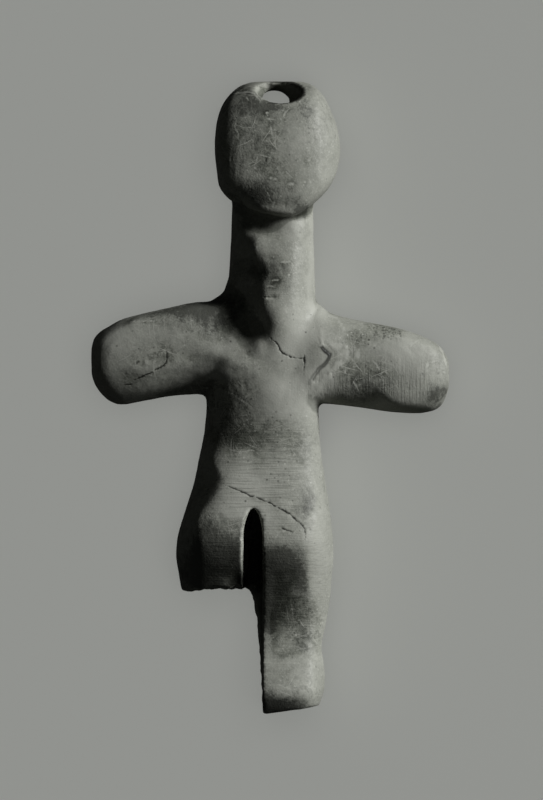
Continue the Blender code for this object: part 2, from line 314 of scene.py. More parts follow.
def skin_of(rings: np.ndarray) -> Skin:
    """A closed skin over a grid of points: quads between the rings, and a face on each end.

    Args:
        rings: rings by points by xyz.

    Returns:
        The points, and the faces facing out.
    """
    count, around, _ = rings.shape
    sides = ring_sides(count, around)
    end = (count - 1) * around
    faces = [*sides.tolist(), [*range(around)][::-1], [*range(end, end + around)]]
    points = rings.reshape(-1, 3)
    # Six times the volume, from the sides about the middle: its sign says which way they face
    a, b, c, d = (points[sides[:, k]] - points.mean(axis=0) for k in range(4))
    volume = (a * np.cross(b, c)).sum() + (a * np.cross(c, d)).sum()
    if volume < 0:
        faces = [face[::-1] for face in faces]
    return points, faces


@dataclass(frozen=True)
class Limb:
    """A limb of the figure: at each row a squared ellipse, its front planed flat between two ends.

    Each station is its level, left, right, front, back, and the left and right ends of its flat.
    Each of the fronts is a level and the squareness, then the crispness, on its left and right.
    """

    name: str
    fronts: tuple
    stations: tuple
    along_x: bool = False
    back_squareness: float = 2.5
    rows: int = 200
    around: int = 160

    def flowing(self) -> np.ndarray:
        """Rows between the stations on a monotone cubic: no row swings past a station.

        Returns:
            One row of seven sizes for each ring.
        """
        stations = np.array(self.stations, float)
        place = np.linspace(0, 1, self.rows) * (len(stations) - 1)
        gap = np.diff(stations, axis=0)
        same_way = gap[:-1] * gap[1:] > 0
        total = np.where(same_way, gap[:-1] + gap[1:], 1)
        inner = np.where(same_way, 2 * gap[:-1] * gap[1:] / total, 0)
        slope = np.vstack([gap[:1], inner, gap[-1:]])
        k = np.minimum(place.astype(int), len(gap) - 1)
        u = (place - k)[:, None]
        return (
            (1 + 2 * u) * (1 - u) ** 2 * stations[k]
            + u * (1 - u) ** 2 * slope[k]
            + u**2 * (3 - 2 * u) * stations[k + 1]
            + u**2 * (u - 1) * slope[k + 1]
        )

    def skin(self) -> Skin:
        """The limb's skin, a function of the row and of the angle round it.

        Side and depth are half widths times the angle's cosine and sine, each to the power two
        over the squareness. Beyond the planed sides both are drawn in towards the middle. The
        front's squareness and crispness go from one level to the next, left and right apart.

        Returns:
            The points and the faces.
        """
        rows = self.flowing()
        fronts = np.array(self.fronts, float)
        order = np.argsort(fronts[:, 0])
        levels, *shapes = fronts[order].T
        square_left, square_right, crisp_left, crisp_right = (
            np.interp(rows[:, 0], levels, shape)[:, None] for shape in shapes
        )
        level, left, right, front, back, flat_left, flat_right = (c[:, None] for c in rows.T)
        angle = np.linspace(0, 2 * math.pi, self.around, endpoint=False)[None, :]
        across, up = np.cos(angle), np.sin(angle)
        front_square = np.where(across > 0, square_right, square_left)
        power = 2 / np.where(up > 0, front_square, self.back_squareness)
        half_width, half_depth = (right - left) / 2, (front - back) / 2
        side = half_width * np.sign(across) * np.abs(across) ** power
        depth = half_depth * np.sign(up) * np.abs(up) ** power
        slant = np.where(side > 0, right - flat_right, flat_left - left)
        beyond = (half_depth * np.abs(side) + slant * depth) / (half_depth * half_width)
        crispness = np.where(across > 0, crisp_right, crisp_left)
        drawn_in = 1 - crispness * (1 - 1 / np.maximum(beyond, 1))
        drawn_in = np.where(depth > 0, drawn_in, 1)
        side, depth = side * drawn_in, depth * drawn_in
        depth = depth + (front + back) / 2
        side = side + (left + right) / 2
        level = np.broadcast_to(level, side.shape)
        order = (level, side, depth) if self.along_x else (side, level, depth)
        return skin_of(stacked(*order) * UNIT)


HEAD = Limb("head", (
    (50.0, 3.6, 2.8, 0.7, 0.5),
    (40.0, 3.6, 2.4, 0.8, 0.4),
    (28.0, 3.2, 2.6, 0.7, 0.5),
), (
    (50.1, -2.6, 5.3, 4.3, 2.2, -1.5, 4.2),
    (49.5, -4.6, 6.9, 6.2, 1.8, -3.2, 5.6),
    (48.5, -5.9, 7.9, 9.0, 1.6, -4.8, 6.3),
    (47.3, -6.9, 8.7, 11.4, 1.4, -5.6, 6.6),
    (45.2, -8.0, 9.7, 12.6, 1.2, -6.95, 6.9),
    (42.5, -8.6, 10.7, 13.2, 1.1, -7.5, 7.1),
    (39.2, -8.8, 11.2, 13.6, 1.4, -7.7, 7.2),
    (35.9, -8.5, 10.7, 13.8, 2.1, -7.4, 6.9),
    (33.4, -8.1, 9.6, 13.9, 3.0, -6.65, 7.4),
    (31.6, -6.9, 8.1, 13.8, 4.2, -4.6, 6.6),
    (30.1, -4.9, 6.4, 13.3, 5.8, -2.9, 5.4),
    (29.0, -2.5, 4.9, 13.1, 7.6, -1.0, 4.2),
    (28.5, 0.4, 3.4, 12.4, 9.6, 1.2, 2.6),
))
NECK = Limb("neck", (
    (30.0, 2.6, 2.6, 0.45, 0.45),
    (24.0, 2.7, 2.6, 0.65, 0.45),
    (14.0, 2.7, 2.5, 0.65, 0.45),
    (0.0, 2.6, 2.4, 0.45, 0.35),
), (
    (39.0, -5.6, 6.2, 10.2, 3.4, -1.0, 3.0),
    (30.4, -6.1, 6.9, 10.7, 2.9, -1.2, 3.4),
    (25.0, -6.2, 6.95, 11.6, 2.4, -1.7, 3.8),
    (23.2, -6.3, 7.03, 12.0, 2.1, -2.3, 3.7),
    (21.0, -6.45, 7.1, 12.3, 1.9, -0.6, 3.6),
    (19.0, -6.58, 7.12, 12.6, 1.5, -0.3, 3.4),
    (17.5, -6.65, 7.2, 12.8, 1.2, -0.9, 3.2),
    (14.0, -6.8, 7.2, 13.0, 0.8, -0.8, 3.2),
    (11.0, -6.6, 7.0, 12.8, 0.8, 0.5, 3.2),
    (8.0, -5.9, 6.8, 12.4, 0.9, 0.8, 3.2),
    (5.0, -5.0, 6.4, 12.0, 1.2, -0.8, 3.0),
    (2.0, -4.0, 5.6, 11.4, 2.0, -1.0, 2.4),
    (-2.0, -2.6, 4.4, 10.6, 3.0, -0.8, 1.6),
))
TRUNK = Limb("trunk", (
    (19.0, 2.6, 2.2, 0.3, 0.2),
    (5.0, 2.9, 2.1, 0.4, 0.2),
    (-6.0, 2.7, 2.7, 0.4, 0.3),
    (-16.0, 3.4, 2.9, 0.6, 0.5),
    (-25.0, 4.0, 2.7, 0.7, 0.6),
    (-36.0, 4.0, 2.9, 0.7, 0.6),
    (-50.0, 4.0, 3.4, 0.7, 0.6),
), (
    (19.8, -6.3, 5.0, 6.6, 3.0, -4.0, 3.0),
    (18.0, -6.95, 5.8, 7.6, 2.2, -5.0, 4.0),
    (16.6, -7.4, 6.4, 8.6, 1.9, -5.6, 4.4),
    (15.4, -9.1, 7.0, 9.4, 1.4, -6.4, 4.8),
    (13.0, -9.9, 8.2, 10.7, 0.3, -7.0, 5.6),
    (8.0, -9.92, 7.9, 11.8, -0.4, -7.2, 5.6),
    (2.0, -10.02, 7.6, 12.0, -0.4, -7.4, 5.4),
    (-3.0, -10.22, 7.7, 11.5, -0.35, -7.6, 5.4),
    (-6.5, -10.62, 7.9, 11.1, -0.3, -7.8, 5.8),
    (-10.0, -11.32, 8.3, 11.6, -0.35, -8.5, 5.6),
    (-13.2, -12.02, 8.75, 12.6, -0.4, -7.1, 6.2),
    (-16.4, -12.92, 9.25, 13.7, -0.45, -9.1, 6.8),
    (-19.6, -13.92, 9.7, 14.7, -0.35, -11.2, 6.5),
    (-22.6, -14.72, 10.0, 15.2, -0.1, -10.9, 5.7),
    (-25.0, -14.92, 10.05, 14.5, 0.2, -10.9, 5.4),
    (-28.5, -14.42, 9.8, 12.5, 0.6, -11.0, 5.4),
    (-32.0, -13.82, 9.55, 10.8, 0.9, -11.0, 5.8),
    (-36.0, -13.2, 8.9, 9.4, 1.2, -10.4, 6.0),
    (-39.4, -12.8, 8.25, 10.1, 1.4, -10.0, 6.0),
    (-41.8, -13.0, 8.5, 11.4, 1.3, -10.2, 6.0),
    (-44.4, -13.2, 8.75, 12.4, 1.1, -10.4, 6.0),
    (-46.6, -13.2, 8.5, 13.1, 1.0, -10.4, 5.8),
    (-48.6, -12.8, 7.9, 12.2, 1.1, -10.0, 5.2),
    (-51.0, -12.2, 7.3, 9.6, 1.6, -9.4, 4.4),
))
ARMS = Limb("arms", (
    (-28.0, 3.0, 3.6, 0.5, 0.7),
    (-18.0, 2.8, 3.6, 0.5, 0.7),
    (-5.0, 2.5, 3.2, 0.45, 0.6),
    (8.0, 3.0, 3.0, 0.5, 0.5),
    (28.0, 3.0, 3.0, 0.5, 0.5),
), (
    (-28.3, 3.6, 7.6, 8.0, 4.0, 4.6, 6.8),
    (-27.9, 2.3, 9.2, 9.2, 3.2, 4.0, 7.8),
    (-27.0, 0.8, 10.3, 10.15, 2.5, 3.8, 8.8),
    (-25.4, -0.7, 11.3, 10.7, 2.0, 4.2, 9.8),
    (-23.5, -1.25, 12.3, 10.9, 1.7, 4.8, 10.6),
    (-20.0, -0.7, 13.3, 11.0, 1.4, 4.2, 12.4),
    (-15.5, 0.1, 14.3, 11.0, 1.1, 5.0, 13.3),
    (-11.0, 0.4, 15.1, 10.9, 0.8, 5.4, 14.0),
    (-5.0, -0.2, 15.2, 10.9, 0.6, 4.2, 14.0),
    (0.0, -0.6, 14.0, 10.9, 0.5, 0.8, 11.6),
    (7.0, -0.9, 13.7, 10.9, 0.6, -0.3, 11.4),
    (11.0, -1.3, 12.8, 10.8, 0.9, 0.4, 10.8),
    (15.5, -1.9, 11.9, 10.5, 1.2, 2.0, 10.0),
    (20.0, -2.5, 11.0, 10.3, 1.5, -0.7, 9.2),
    (23.0, -2.65, 10.1, 9.9, 1.8, -0.9, 8.4),
    (25.3, -2.4, 9.1, 9.4, 2.1, -0.3, 7.6),
    (26.9, -1.7, 8.1, 8.8, 2.6, 1.2, 6.6),
    (27.8, -0.2, 6.8, 8.1, 3.3, 3.0, 5.4),
    (28.3, 1.4, 5.6, 7.5, 4.0, 3.0, 4.4),
), along_x=True)


@dataclass(frozen=True)
class Openings:
    """What the carver drilled and sawed, and what has broken away: the tools that cut the form."""

    throat: tuple[float, float, float] = (0.9, 47.1, 4.6)
    throat_radius: float = 0.0016
    wear_taper: float = math.radians(21.5)
    hole_slope: float = math.radians(30)
    mouth_lean: float = 0.10
    slot_width: float = 0.0029
    slot_flare: float = 0.00020
    # The rounded floor and the straight wall above it: height and width, both in half widths
    slot_floor: tuple = ((0.0, 0.75), (0.3, 0.93), (1.0, 1.0))
    slot_left_share: float = 0.86
    slot_left_power: float = 1.5
    slot_top: float = -17.4
    slot_arch: float = 4.8
    slot_centre: float = -2.75
    slot_lean: float = 0.05
    web_thickness: float = 0.0036
    groove_width: float = 0.0022
    groove_depth: float = 0.0012
    leg_back: tuple = ((-32.0, 0.9), (-60.0, 1.4))
    break_level: float = -30.5
    break_corner: tuple[float, float] = (1.0, 1.3)
    break_slant: float = 0.04
    break_ripple: float = 0.12
    # Each wave over the break: its turns across and inwards, and its share
    break_waves: tuple = ((1.7, 0.9, 1.0), (2.9, -1.3, 0.7))
    # How far the break drops at its left end, and between which places
    break_drop: tuple[float, float, float] = (0.4, -9.5, -12.5)
    torn_scale: float = 0.9
    torn_rise: float = 0.16
    torn_shift: float = 0.12
    chip: tuple[float, float, float] = (-6.4, -30.9, 13.9)
    chip_radii: tuple[float, float, float] = (2.5, 2.7, 1.6)
    web_edge_foot: tuple[float, float] = (-1.02, -51.5)
    web_edge_bow: float = 0.55
    sole_heel: tuple[float, float] = (-1.3, -50.0)
    sole_edge: tuple[float, float] = (7.5, -48.8)
    clear: float = 30.0

    def slot(self) -> Skin:
        """The sawn slot: an arch carried along its depth, its left wall flaring towards the front.

        Across is the half width times the cosine, whose power on the left fills that side out.

        Returns:
            The points and the faces.
        """
        half = self.slot_width / 2 / UNIT
        floor = self.web_thickness / UNIT
        arc = np.linspace(0, math.pi, 49)
        lean = self.slot_lean * np.sin(arc)
        across_share, rise_share = np.cos(arc), np.sin(arc)
        left_share = np.abs(across_share) ** self.slot_left_power
        levels = [(floor + rise * half, wide * half, 0.0) for rise, wide in self.slot_floor]
        rings = []
        for depth, wide, flare in (*levels, (self.clear, half, self.slot_flare / UNIT)):
            left = wide * self.slot_left_share + flare
            across = np.where(across_share > 0, wide * across_share, -left * left_share)
            x = np.concatenate([across - lean, [-left, wide]])
            y = self.slot_top - self.slot_arch + (self.slot_arch + wide - half) * rise_share
            y = np.concatenate([y, [-2 * self.clear] * 2])
            rings.append(stacked(self.slot_centre + x, y, depth))
        return skin_of(np.array(rings) * UNIT)

    def back_groove(self) -> Skin:
        """The shallow groove that parts the legs behind: a wedge carried along the back.

        Returns:
            The points and the faces.
        """
        half = self.groove_width / 2 / UNIT
        deep = self.groove_depth / UNIT
        rings = []
        for level, back, rise in (
            (self.slot_top, 0.0, -0.5),
            (self.slot_top - self.slot_arch, 0.0, 0.5),
            *((level, back, 1.0) for level, back in self.leg_back),
        ):
            foot = half * (rise + 1)
            x = self.slot_centre + np.array([-foot, 0.0, foot])
            z = back + deep * np.array([-1.0, rise, -1.0])
            rings.append(stacked(x, level, z))
        return skin_of(np.array(rings) * UNIT)

    def broken_away(self) -> Skin:
        """The leg and web that are lost: an outline carried in depth, rough where the stone tore.

        The outline runs along the break, round a quarter circle and down the web's edge. Waves, a
        slant and noise move the break up and down, and noise moves the web's edge sideways.

        Returns:
            The points and the faces.
        """
        corner_width, corner_drop = self.break_corner
        left = np.linspace(-self.clear, self.slot_centre - corner_width, 90)
        turn = np.linspace(0, math.pi / 2, 10)[1:]
        turn_x = self.slot_centre + corner_width * (np.sin(turn) - 1)
        turn_y = self.break_level - corner_drop * (1 - np.cos(turn))
        foot_x, foot_y = self.web_edge_foot
        down = np.linspace(0, 1, 60)[1:]
        bowed = np.minimum(down * 1.02, 1) ** self.web_edge_bow
        edge_x = turn_x[-1] + (foot_x - turn_x[-1]) * bowed
        edge_y = turn_y[-1] + (foot_y - turn_y[-1]) * down
        x = np.concatenate([left, turn_x, edge_x, [foot_x, -self.clear]])
        y = np.full_like(left, self.break_level)
        y = np.concatenate([y, turn_y, edge_y, [-2 * self.clear] * 2])
        depths = np.linspace(-2, self.clear, 140)[:, None]
        ripple = sum(
            share * np.sin(across * x + inward * depths)
            for across, inward, share in self.break_waves
        )
        on_break = np.arange(len(x)) < len(left) + len(turn)
        on_web = ~on_break & (np.arange(len(x)) < len(x) - 2)
        grid = stacked(x, y, depths)
        torn = cloudy(grid.reshape(-1, 3) * self.torn_scale, 5, 3).reshape(grid.shape[:2])
        drop, drop_from, drop_to = self.break_drop
        slant = self.break_slant * np.maximum(depths, 0)
        slant = slant - drop * smooth_step(x, drop_from, drop_to)
        grid[..., 0] += on_web * self.torn_shift * torn
        grid[..., 1] += on_break * (slant + self.break_ripple * ripple + self.torn_rise * torn)
        return skin_of(grid * UNIT)

    def flake(self) -> Skin:
        """A flake off the front edge of the break: an ellipsoid on a grid of two angles.

        Returns:
            The points and the faces.
        """
        turn = np.linspace(0, 2 * math.pi, 48, endpoint=False)[None, :]
        tilt = np.linspace(0.02, math.pi - 0.02, 30)[:, None]
        ball = stacked(np.sin(tilt) * np.cos(turn), np.sin(tilt) * np.sin(turn), np.cos(tilt))
        return skin_of((ball * self.chip_radii + self.chip) * UNIT)

    def cone(self, way: float) -> Skin:
        """One half of the cord hole: circles that widen along the drill's way from the throat.

        Args:
            way: 1 towards the crown, -1 towards the nape.

        Returns:
            The points and the faces.
        """
        axis = np.array([self.mouth_lean, math.sin(self.hole_slope), math.cos(self.hole_slope)])
        axis = way * axis / np.linalg.norm(axis)
        side = np.cross(axis, [1.0, 0.0, 0.0])
        side /= np.linalg.norm(side)
        other = np.cross(axis, side)
        overlap = self.throat_radius / 2
        reach = np.array([-overlap, self.clear / 2 * UNIT])[:, None, None]
        radius = self.throat_radius + (reach + overlap) * math.tan(self.wear_taper)
        turn = np.linspace(0, 2 * math.pi, 72, endpoint=False)[None, :, None]
        centre = np.array(self.throat) * UNIT
        circle = np.cos(turn) * side + np.sin(turn) * other
        return skin_of(centre + reach * axis + radius * circle)

    def below(self, heel: tuple, edge: tuple) -> Skin:
        """All below a slanting line seen from the front: the sole's cut.

        Args:
            heel: where the line passes on the left, across and along.
            edge: where it passes on the right.

        Returns:
            The points and the faces.
        """
        run = np.array(edge) - np.array(heel)
        run = run / np.linalg.norm(run) * self.clear
        drop = np.array([run[1], -run[0]])
        heel = np.array(heel)
        corners = np.array([heel - run, heel + run, heel + run + drop, heel - run + drop])
        rings = [stacked(*corners.T, z) for z in (-self.clear, self.clear)]
        return skin_of(np.array(rings) * UNIT)

    def rest(self) -> Skin:
        """All below the flat of the back.

        Returns:
            The points and the faces.
        """
        wide = 2 * self.clear
        corners = np.array([(-wide, -wide), (wide, -wide), (wide, wide), (-wide, wide)])
        rings = [stacked(*corners.T, z) for z in (-wide, 0.0)]
        return skin_of(np.array(rings) * UNIT)

    def tools(self) -> dict[str, Skin]:
        """Every cutter.

        Returns:
            The points and the faces of each, by name.
        """
        return {
            "slot": self.slot(),
            "back_groove": self.back_groove(),
            "broken_away": self.broken_away(),
            "flake": self.flake(),
            "hole_from_crown": self.cone(1.0),
            "hole_from_nape": self.cone(-1.0),
            "sole": self.below(self.sole_heel, self.sole_edge),
            "rest": self.rest(),
        }


@dataclass
class CarvedForm:
    """The plain carved form: limbs fused to one skin, joins rubbed smooth, openings cut."""

    limbs: tuple = (HEAD, NECK, TRUNK, ARMS)
    openings: Openings = field(default_factory=Openings)
    voxel: float = 0.00033
    rubbed: float = 0.00054
    edge_rubs: int = 2

    def fused(self) -> bpy.types.Object:
        """The limbs as one skin, its joins rubbed to the same roundness as the plain solid's.

        Each round of rubbing spreads a bump by half a voxel, so the rounds go with the square of
        the width that is rubbed smooth.

        Returns:
            The object, its remeshing and rubbing still live.
        """
        points, faces, first = [], [], 0
        for limb in self.limbs:
            own, sides = limb.skin()
            points.append(own)
            faces += [[first + k for k in side] for side in sides]
            first += len(own)
        form = new_object("form", new_mesh("form", np.concatenate(points), faces))
        fuse = form.modifiers.new("fuse", "REMESH")
        fuse.mode = "VOXEL"
        fuse.voxel_size = self.voxel
        rub = form.modifiers.new("rub", "SMOOTH")
        rub.factor = 0.5
        rub.iterations = round(4 * (self.rubbed / self.voxel) ** 2)
        return form

    def shell(self) -> Shell:
        """Cuts the openings, remeshes the result evenly and hands it over as triangles.

        Returns:
            The form's skin, in metres.
        """
        form = self.fused()
        cutters = []
        for name, (points, faces) in self.openings.tools().items():
            cutter = new_object(name, new_mesh(name, points, faces))
            cutters.append(cutter)
            cut = form.modifiers.new(name, "BOOLEAN")
            cut.operation = "DIFFERENCE"
            cut.object = cutter
        even = form.modifiers.new("even", "REMESH")
        even.mode = "VOXEL"
        even.voxel_size = self.voxel
        soften = form.modifiers.new("soften", "SMOOTH")
        soften.factor = 0.5
        soften.iterations = self.edge_rubs
        graph = bpy.context.evaluated_depsgraph_get()
        mesh = bpy.data.meshes.new_from_object(form.evaluated_get(graph))
        mesh.calc_loop_triangles()
        points = np.empty(len(mesh.vertices) * 3, np.float32)
        mesh.vertices.foreach_get("co", points)
        faces = np.empty(len(mesh.loop_triangles) * 3, np.int32)
        mesh.loop_triangles.foreach_get("vertices", faces)
        for old in (form, *cutters):
            data = old.data
            bpy.data.objects.remove(old)
            bpy.data.meshes.remove(data)
        bpy.data.meshes.remove(mesh)
        return Shell(points.reshape(-1, 3).astype(float), faces.reshape(-1, 3).astype(np.int64))


class Channel(Enum):
    """What is painted on the stone for its finish to read, one number at each point."""

    DARK = "dark"
    PALE = "pale"
    TORN = "torn"
    BRUSHED = "brushed"
    COMBED = "combed"
    SCRATCHED = "scratched"
    # Stains, together with painted shade and painted light
    STAINED_SHADED_AND_LIT = "stain_shade_and_light"
    HOLLOW = "hollow"


# A number at each point for each channel
Painted = dict[Channel, np.ndarray]


@dataclass(frozen=True)
class Swell:
    """A broad rise or hollow ground into the front: a bell over an ellipse of pixels."""

    across: float
    down: float
    wide: float
    tall: float
    height: float
    turn: float = 0.0

    def share(self, pixels: np.ndarray) -> np.ndarray:
        """The bell's value at each place: e to the minus squared distance in half widths.

        Args:
            pixels: places in the photograph.

        Returns:
            One value from 0 to 1 for each.
        """
        c, s = math.cos(math.radians(self.turn)), math.sin(math.radians(self.turn))
        u, v = pixels[:, 0] - self.across, pixels[:, 1] - self.down
        return np.exp(-(((u * c + v * s) / self.wide) ** 2) - ((v * c - u * s) / self.tall) ** 2)


def bells(swells: tuple, pixels: np.ndarray) -> np.ndarray:
    """The heights of all the bells at each place, added up."""
    return sum((swell.height * swell.share(pixels) for swell in swells), np.zeros(len(pixels)))


@dataclass(frozen=True)
class Trail:
    """A line on the stone: a path of pixels with a width that tapers out at both ends."""

    path: tuple
    half_width: float
    height: float
    wander: float = 0.7
    seed: int = 1
    unevenness: float = 0.75
    surround: float = 12.0

    def nearest(self, pixels: np.ndarray) -> tuple[np.ndarray, np.ndarray]:
        """How far each place is from the path, signed by its side, and how far along it that is.

        Args:
            pixels: places in the photograph.

        Returns:
            The distance in pixels, positive on the path's right, and the share of the path's run.
        """
        path = np.array(self.path, float)
        margin = self.half_width + self.surround
        near = np.all((pixels > path.min(0) - margin) & (pixels < path.max(0) + margin), axis=1)
        distance = np.full(len(pixels), FAR)
        run_share = np.full(len(pixels), 0.5)
        pixels = pixels[near]
        if not len(pixels):
            return distance, run_share
        sway = stacked(cloudy(pixels / 5, self.seed, 3), cloudy(pixels / 5, self.seed + 50, 3))
        places = pixels + self.wander * sway
        run = np.diff(path, axis=0)
        length = np.linalg.norm(run, axis=1)
        passed = np.concatenate([[0], np.cumsum(length)])
        best = np.full(len(places), FAR)
        side = np.ones(len(places))
        along = np.zeros(len(places))
        for k, (start, step) in enumerate(zip(path[:-1], run)):
            off = places - start
            t = np.clip(off @ step / length[k] ** 2, 0, 1)
            away = off - t[:, None] * step
            far = np.linalg.norm(away, axis=1)
            closer = far < best
            best = np.where(closer, far, best)
            turned = step[0] * off[:, 1] - step[1] * off[:, 0]
            side = np.where(closer, np.sign(turned), side)
            along = np.where(closer, (passed[k] + t * length[k]) / passed[-1], along)
        distance[near] = best * side
        run_share[near] = along
        return distance, run_share

    def share(self, pixels: np.ndarray) -> np.ndarray:
        """1 on the path, falling straight to 0 at its half width, which tapers at the ends.

        The taper is the square root of six times the share of the run to the nearer end, and noise
        makes the width and the depth uneven.

        Args:
            pixels: places in the photograph.

        Returns:
            One value from 0 to 1 for each.
        """
        far, along = self.nearest(pixels)
        close = np.abs(far) < 3 * self.half_width
        total = np.zeros(len(pixels))
        if not close.any():
            return total
        far, along = far[close], along[close]
        taper = np.sqrt(np.clip(np.minimum(along, 1 - along) * 6, 0.12, 1))
        uneven = 1 + self.unevenness * cloudy(pixels[close] / 3.5, self.seed + 90, 2)
        width = self.half_width * taper * np.maximum(uneven, 0.15)
        total[close] = np.clip(1 - np.abs(far) / width, 0, 1) * np.clip(0.35 + uneven, 0, 1)
        return total


@dataclass(frozen=True)
class Pits:
    """Small round pits strewn over an ellipse of pixels, each a bowl of its own size."""

    across: float
    down: float
    wide: float
    tall: float
    count: int
    radius: float
    depth: float
    seed: int

    def share(self, pixels: np.ndarray) -> np.ndarray:
        """The deepest bowl's value at each place: 1 - squared distance in radii.

        Args:
            pixels: places in the photograph.

        Returns:
            One value from 0 to 1 for each.
        """
        draw = np.random.default_rng(self.seed)
        turn = draw.uniform(0, 2 * math.pi, self.count)
        reach = np.sqrt(draw.uniform(0, 1, self.count))
        centres = reach[:, None] * stacked(self.wide * np.cos(turn), self.tall * np.sin(turn))
        centres = centres + (self.across, self.down)
        radii = self.radius * draw.uniform(0.55, 1.25, self.count)
        total = np.zeros(len(pixels))
        off = np.abs(pixels - (self.across, self.down))
        near = np.all(off < np.array((self.wide, self.tall)) + 3 * self.radius, axis=1)
        places = pixels[near]
        away = np.linalg.norm(places[:, None] - centres[None], axis=2) / radii
        total[near] = np.clip(1 - away.min(axis=1) ** 2, 0, 1) if len(places) else 0
        return total


# Cracks and cuts
CHEST_CRACK = Trail(
    ((271.5, 338), (278, 346), (282.5, 353), (290, 357), (300, 359), (304, 358.5)),
    1.15, -0.09 * MM, seed=11,
)
CHEST_BRANCH = Trail(
    ((304, 355), (304.5, 362), (304, 370)), 1.1, -0.07 * MM, seed=12, unevenness=0.5,
)
HIP_CRACK = Trail(
    (
        (225, 485.5), (238.5, 490.5), (252, 496), (262.5, 500.5), (273, 504.5), (278, 508),
        (289, 513.5), (297, 521), (305, 528.5), (305, 540),
    ),
    1.1, -0.08 * MM, seed=13,
)
KNEE_CRACK = Trail(((281, 528), (288, 530), (293, 532)), 0.9, -0.05 * MM, seed=14)
ARM_CRACK = Trail(
    ((167, 352), (167, 361), (163.5, 365.5), (150, 373.5), (134, 380)),
    1.1, -0.07 * MM, seed=15,
)
ARM_CRACK_END = Trail(((132, 384), (125, 385)), 0.8, -0.04 * MM, seed=16)
CRACKS = (CHEST_CRACK, CHEST_BRANCH, HIP_CRACK, KNEE_CRACK, ARM_CRACK, ARM_CRACK_END)

# The old mend on the chest: the torn edge of a recess, and the pale band raised beside it
RECESS_EDGE = Trail(
    (
        (320.5, 345.5), (324, 350), (330, 354.5), (329, 359), (326.5, 363), (319, 369),
        (316, 373.5), (310.5, 382.5),
    ),
    5.0, -0.11 * MM, seed=21,
)
MEND_BANDS = (
    Trail(((320, 326), (321, 337), (322, 345), (333, 346), (346, 346)), 3.4, 0.05 * MM, 1.0, 22),
    Trail(
        ((344, 346), (347, 352), (339, 363), (330, 373), (320, 385), (312, 398)),
        5.2, 0.06 * MM, 1.0, 23,
    ),
    Trail(((328, 316), (336, 318), (342, 325), (345, 331)), 1.6, 0.03 * MM, 0.7, 24),
)

# Where the joins between neck, chest and arms are worn into one another, and how fully
MELTED = (
    Swell(304, 350, 40, 36, 1.0),
    Swell(232, 354, 20, 20, 0.6),
)

# Broad rises and hollows ground into the front: across, down, half width, half height, height,
# turn
SWELLS = (
    Swell(240, 197, 20, 13, -0.55 * MM),  # plane under the left of the jaw
    Swell(232, 86, 15, 10, -0.50 * MM),  # left shoulder of the crown
    Swell(258, 226, 15, 8, -0.80 * MM),  # under the chin
    Swell(255, 242, 9, 8, 0.20 * MM),  # knuckle on the neck's edge, and the hollow below it
    Swell(268, 257, 10, 5, -0.20 * MM),
    Swell(254, 276, 12, 16, -0.25 * MM),
    Swell(249, 318, 12, 18, -0.25 * MM, -15),  # dark foot of the neck
    Swell(320, 352, 24, 32, 0.90 * MM),  # slope from the neck to the right shoulder
    Swell(277, 318, 12, 18, 0.45 * MM),  # crest of the neck's foot
    Swell(298, 226, 16, 12, 0.30 * MM),  # right of the throat
    Swell(318, 312, 9, 10, 0.55 * MM),  # fillet between neck and right arm
    Swell(274, 390, 32, 32, 0.55 * MM),  # chest
    Swell(227, 322, 14, 12, -0.50 * MM),  # left shoulder, in the neck's shadow
    Swell(244, 336, 12, 10, -0.60 * MM),
    Swell(218, 373, 22, 9, 0.55 * MM),
    Swell(260, 346, 8, 12, 0.30 * MM),
    Swell(226, 359, 30, 10, 0.55 * MM, 18),  # ridge from the left arm into the chest
    Swell(205, 388, 18, 10, 0.20 * MM),  # left armpit
    Swell(306, 386, 14, 16, 0.50 * MM),  # fullness of the right armpit
    Swell(424, 374, 16, 14, 0.20 * MM),  # right hand
    Swell(223, 490, 20, 26, 0.20 * MM),  # left of the lap
    Swell(238, 584, 9, 9, -0.45 * MM),  # flake off the broken edge
    Swell(222, 420, 12, 34, -0.22 * MM),  # left edge of the chest
)

# Grooves worked or worn into the front, kept free of stains and of painted shade and light: the
# slot's rubbed lip, and tool marks
GROOVES = (
    Trail(
        ((251, 511), (247.4, 522), (245.4, 533), (244.5, 546), (244.5, 560), (245, 575)),
        4.8, -0.42 * MM, 0.15, 41, 0.1,
    ),
    Trail(((264, 297.5), (278, 297)), 1.8, -0.10 * MM, 0.5, 42),
    Trail(((272, 424), (276, 421), (281, 423), (282, 428), (278, 431)), 1.0, -0.03 * MM, 0.4, 48),
)
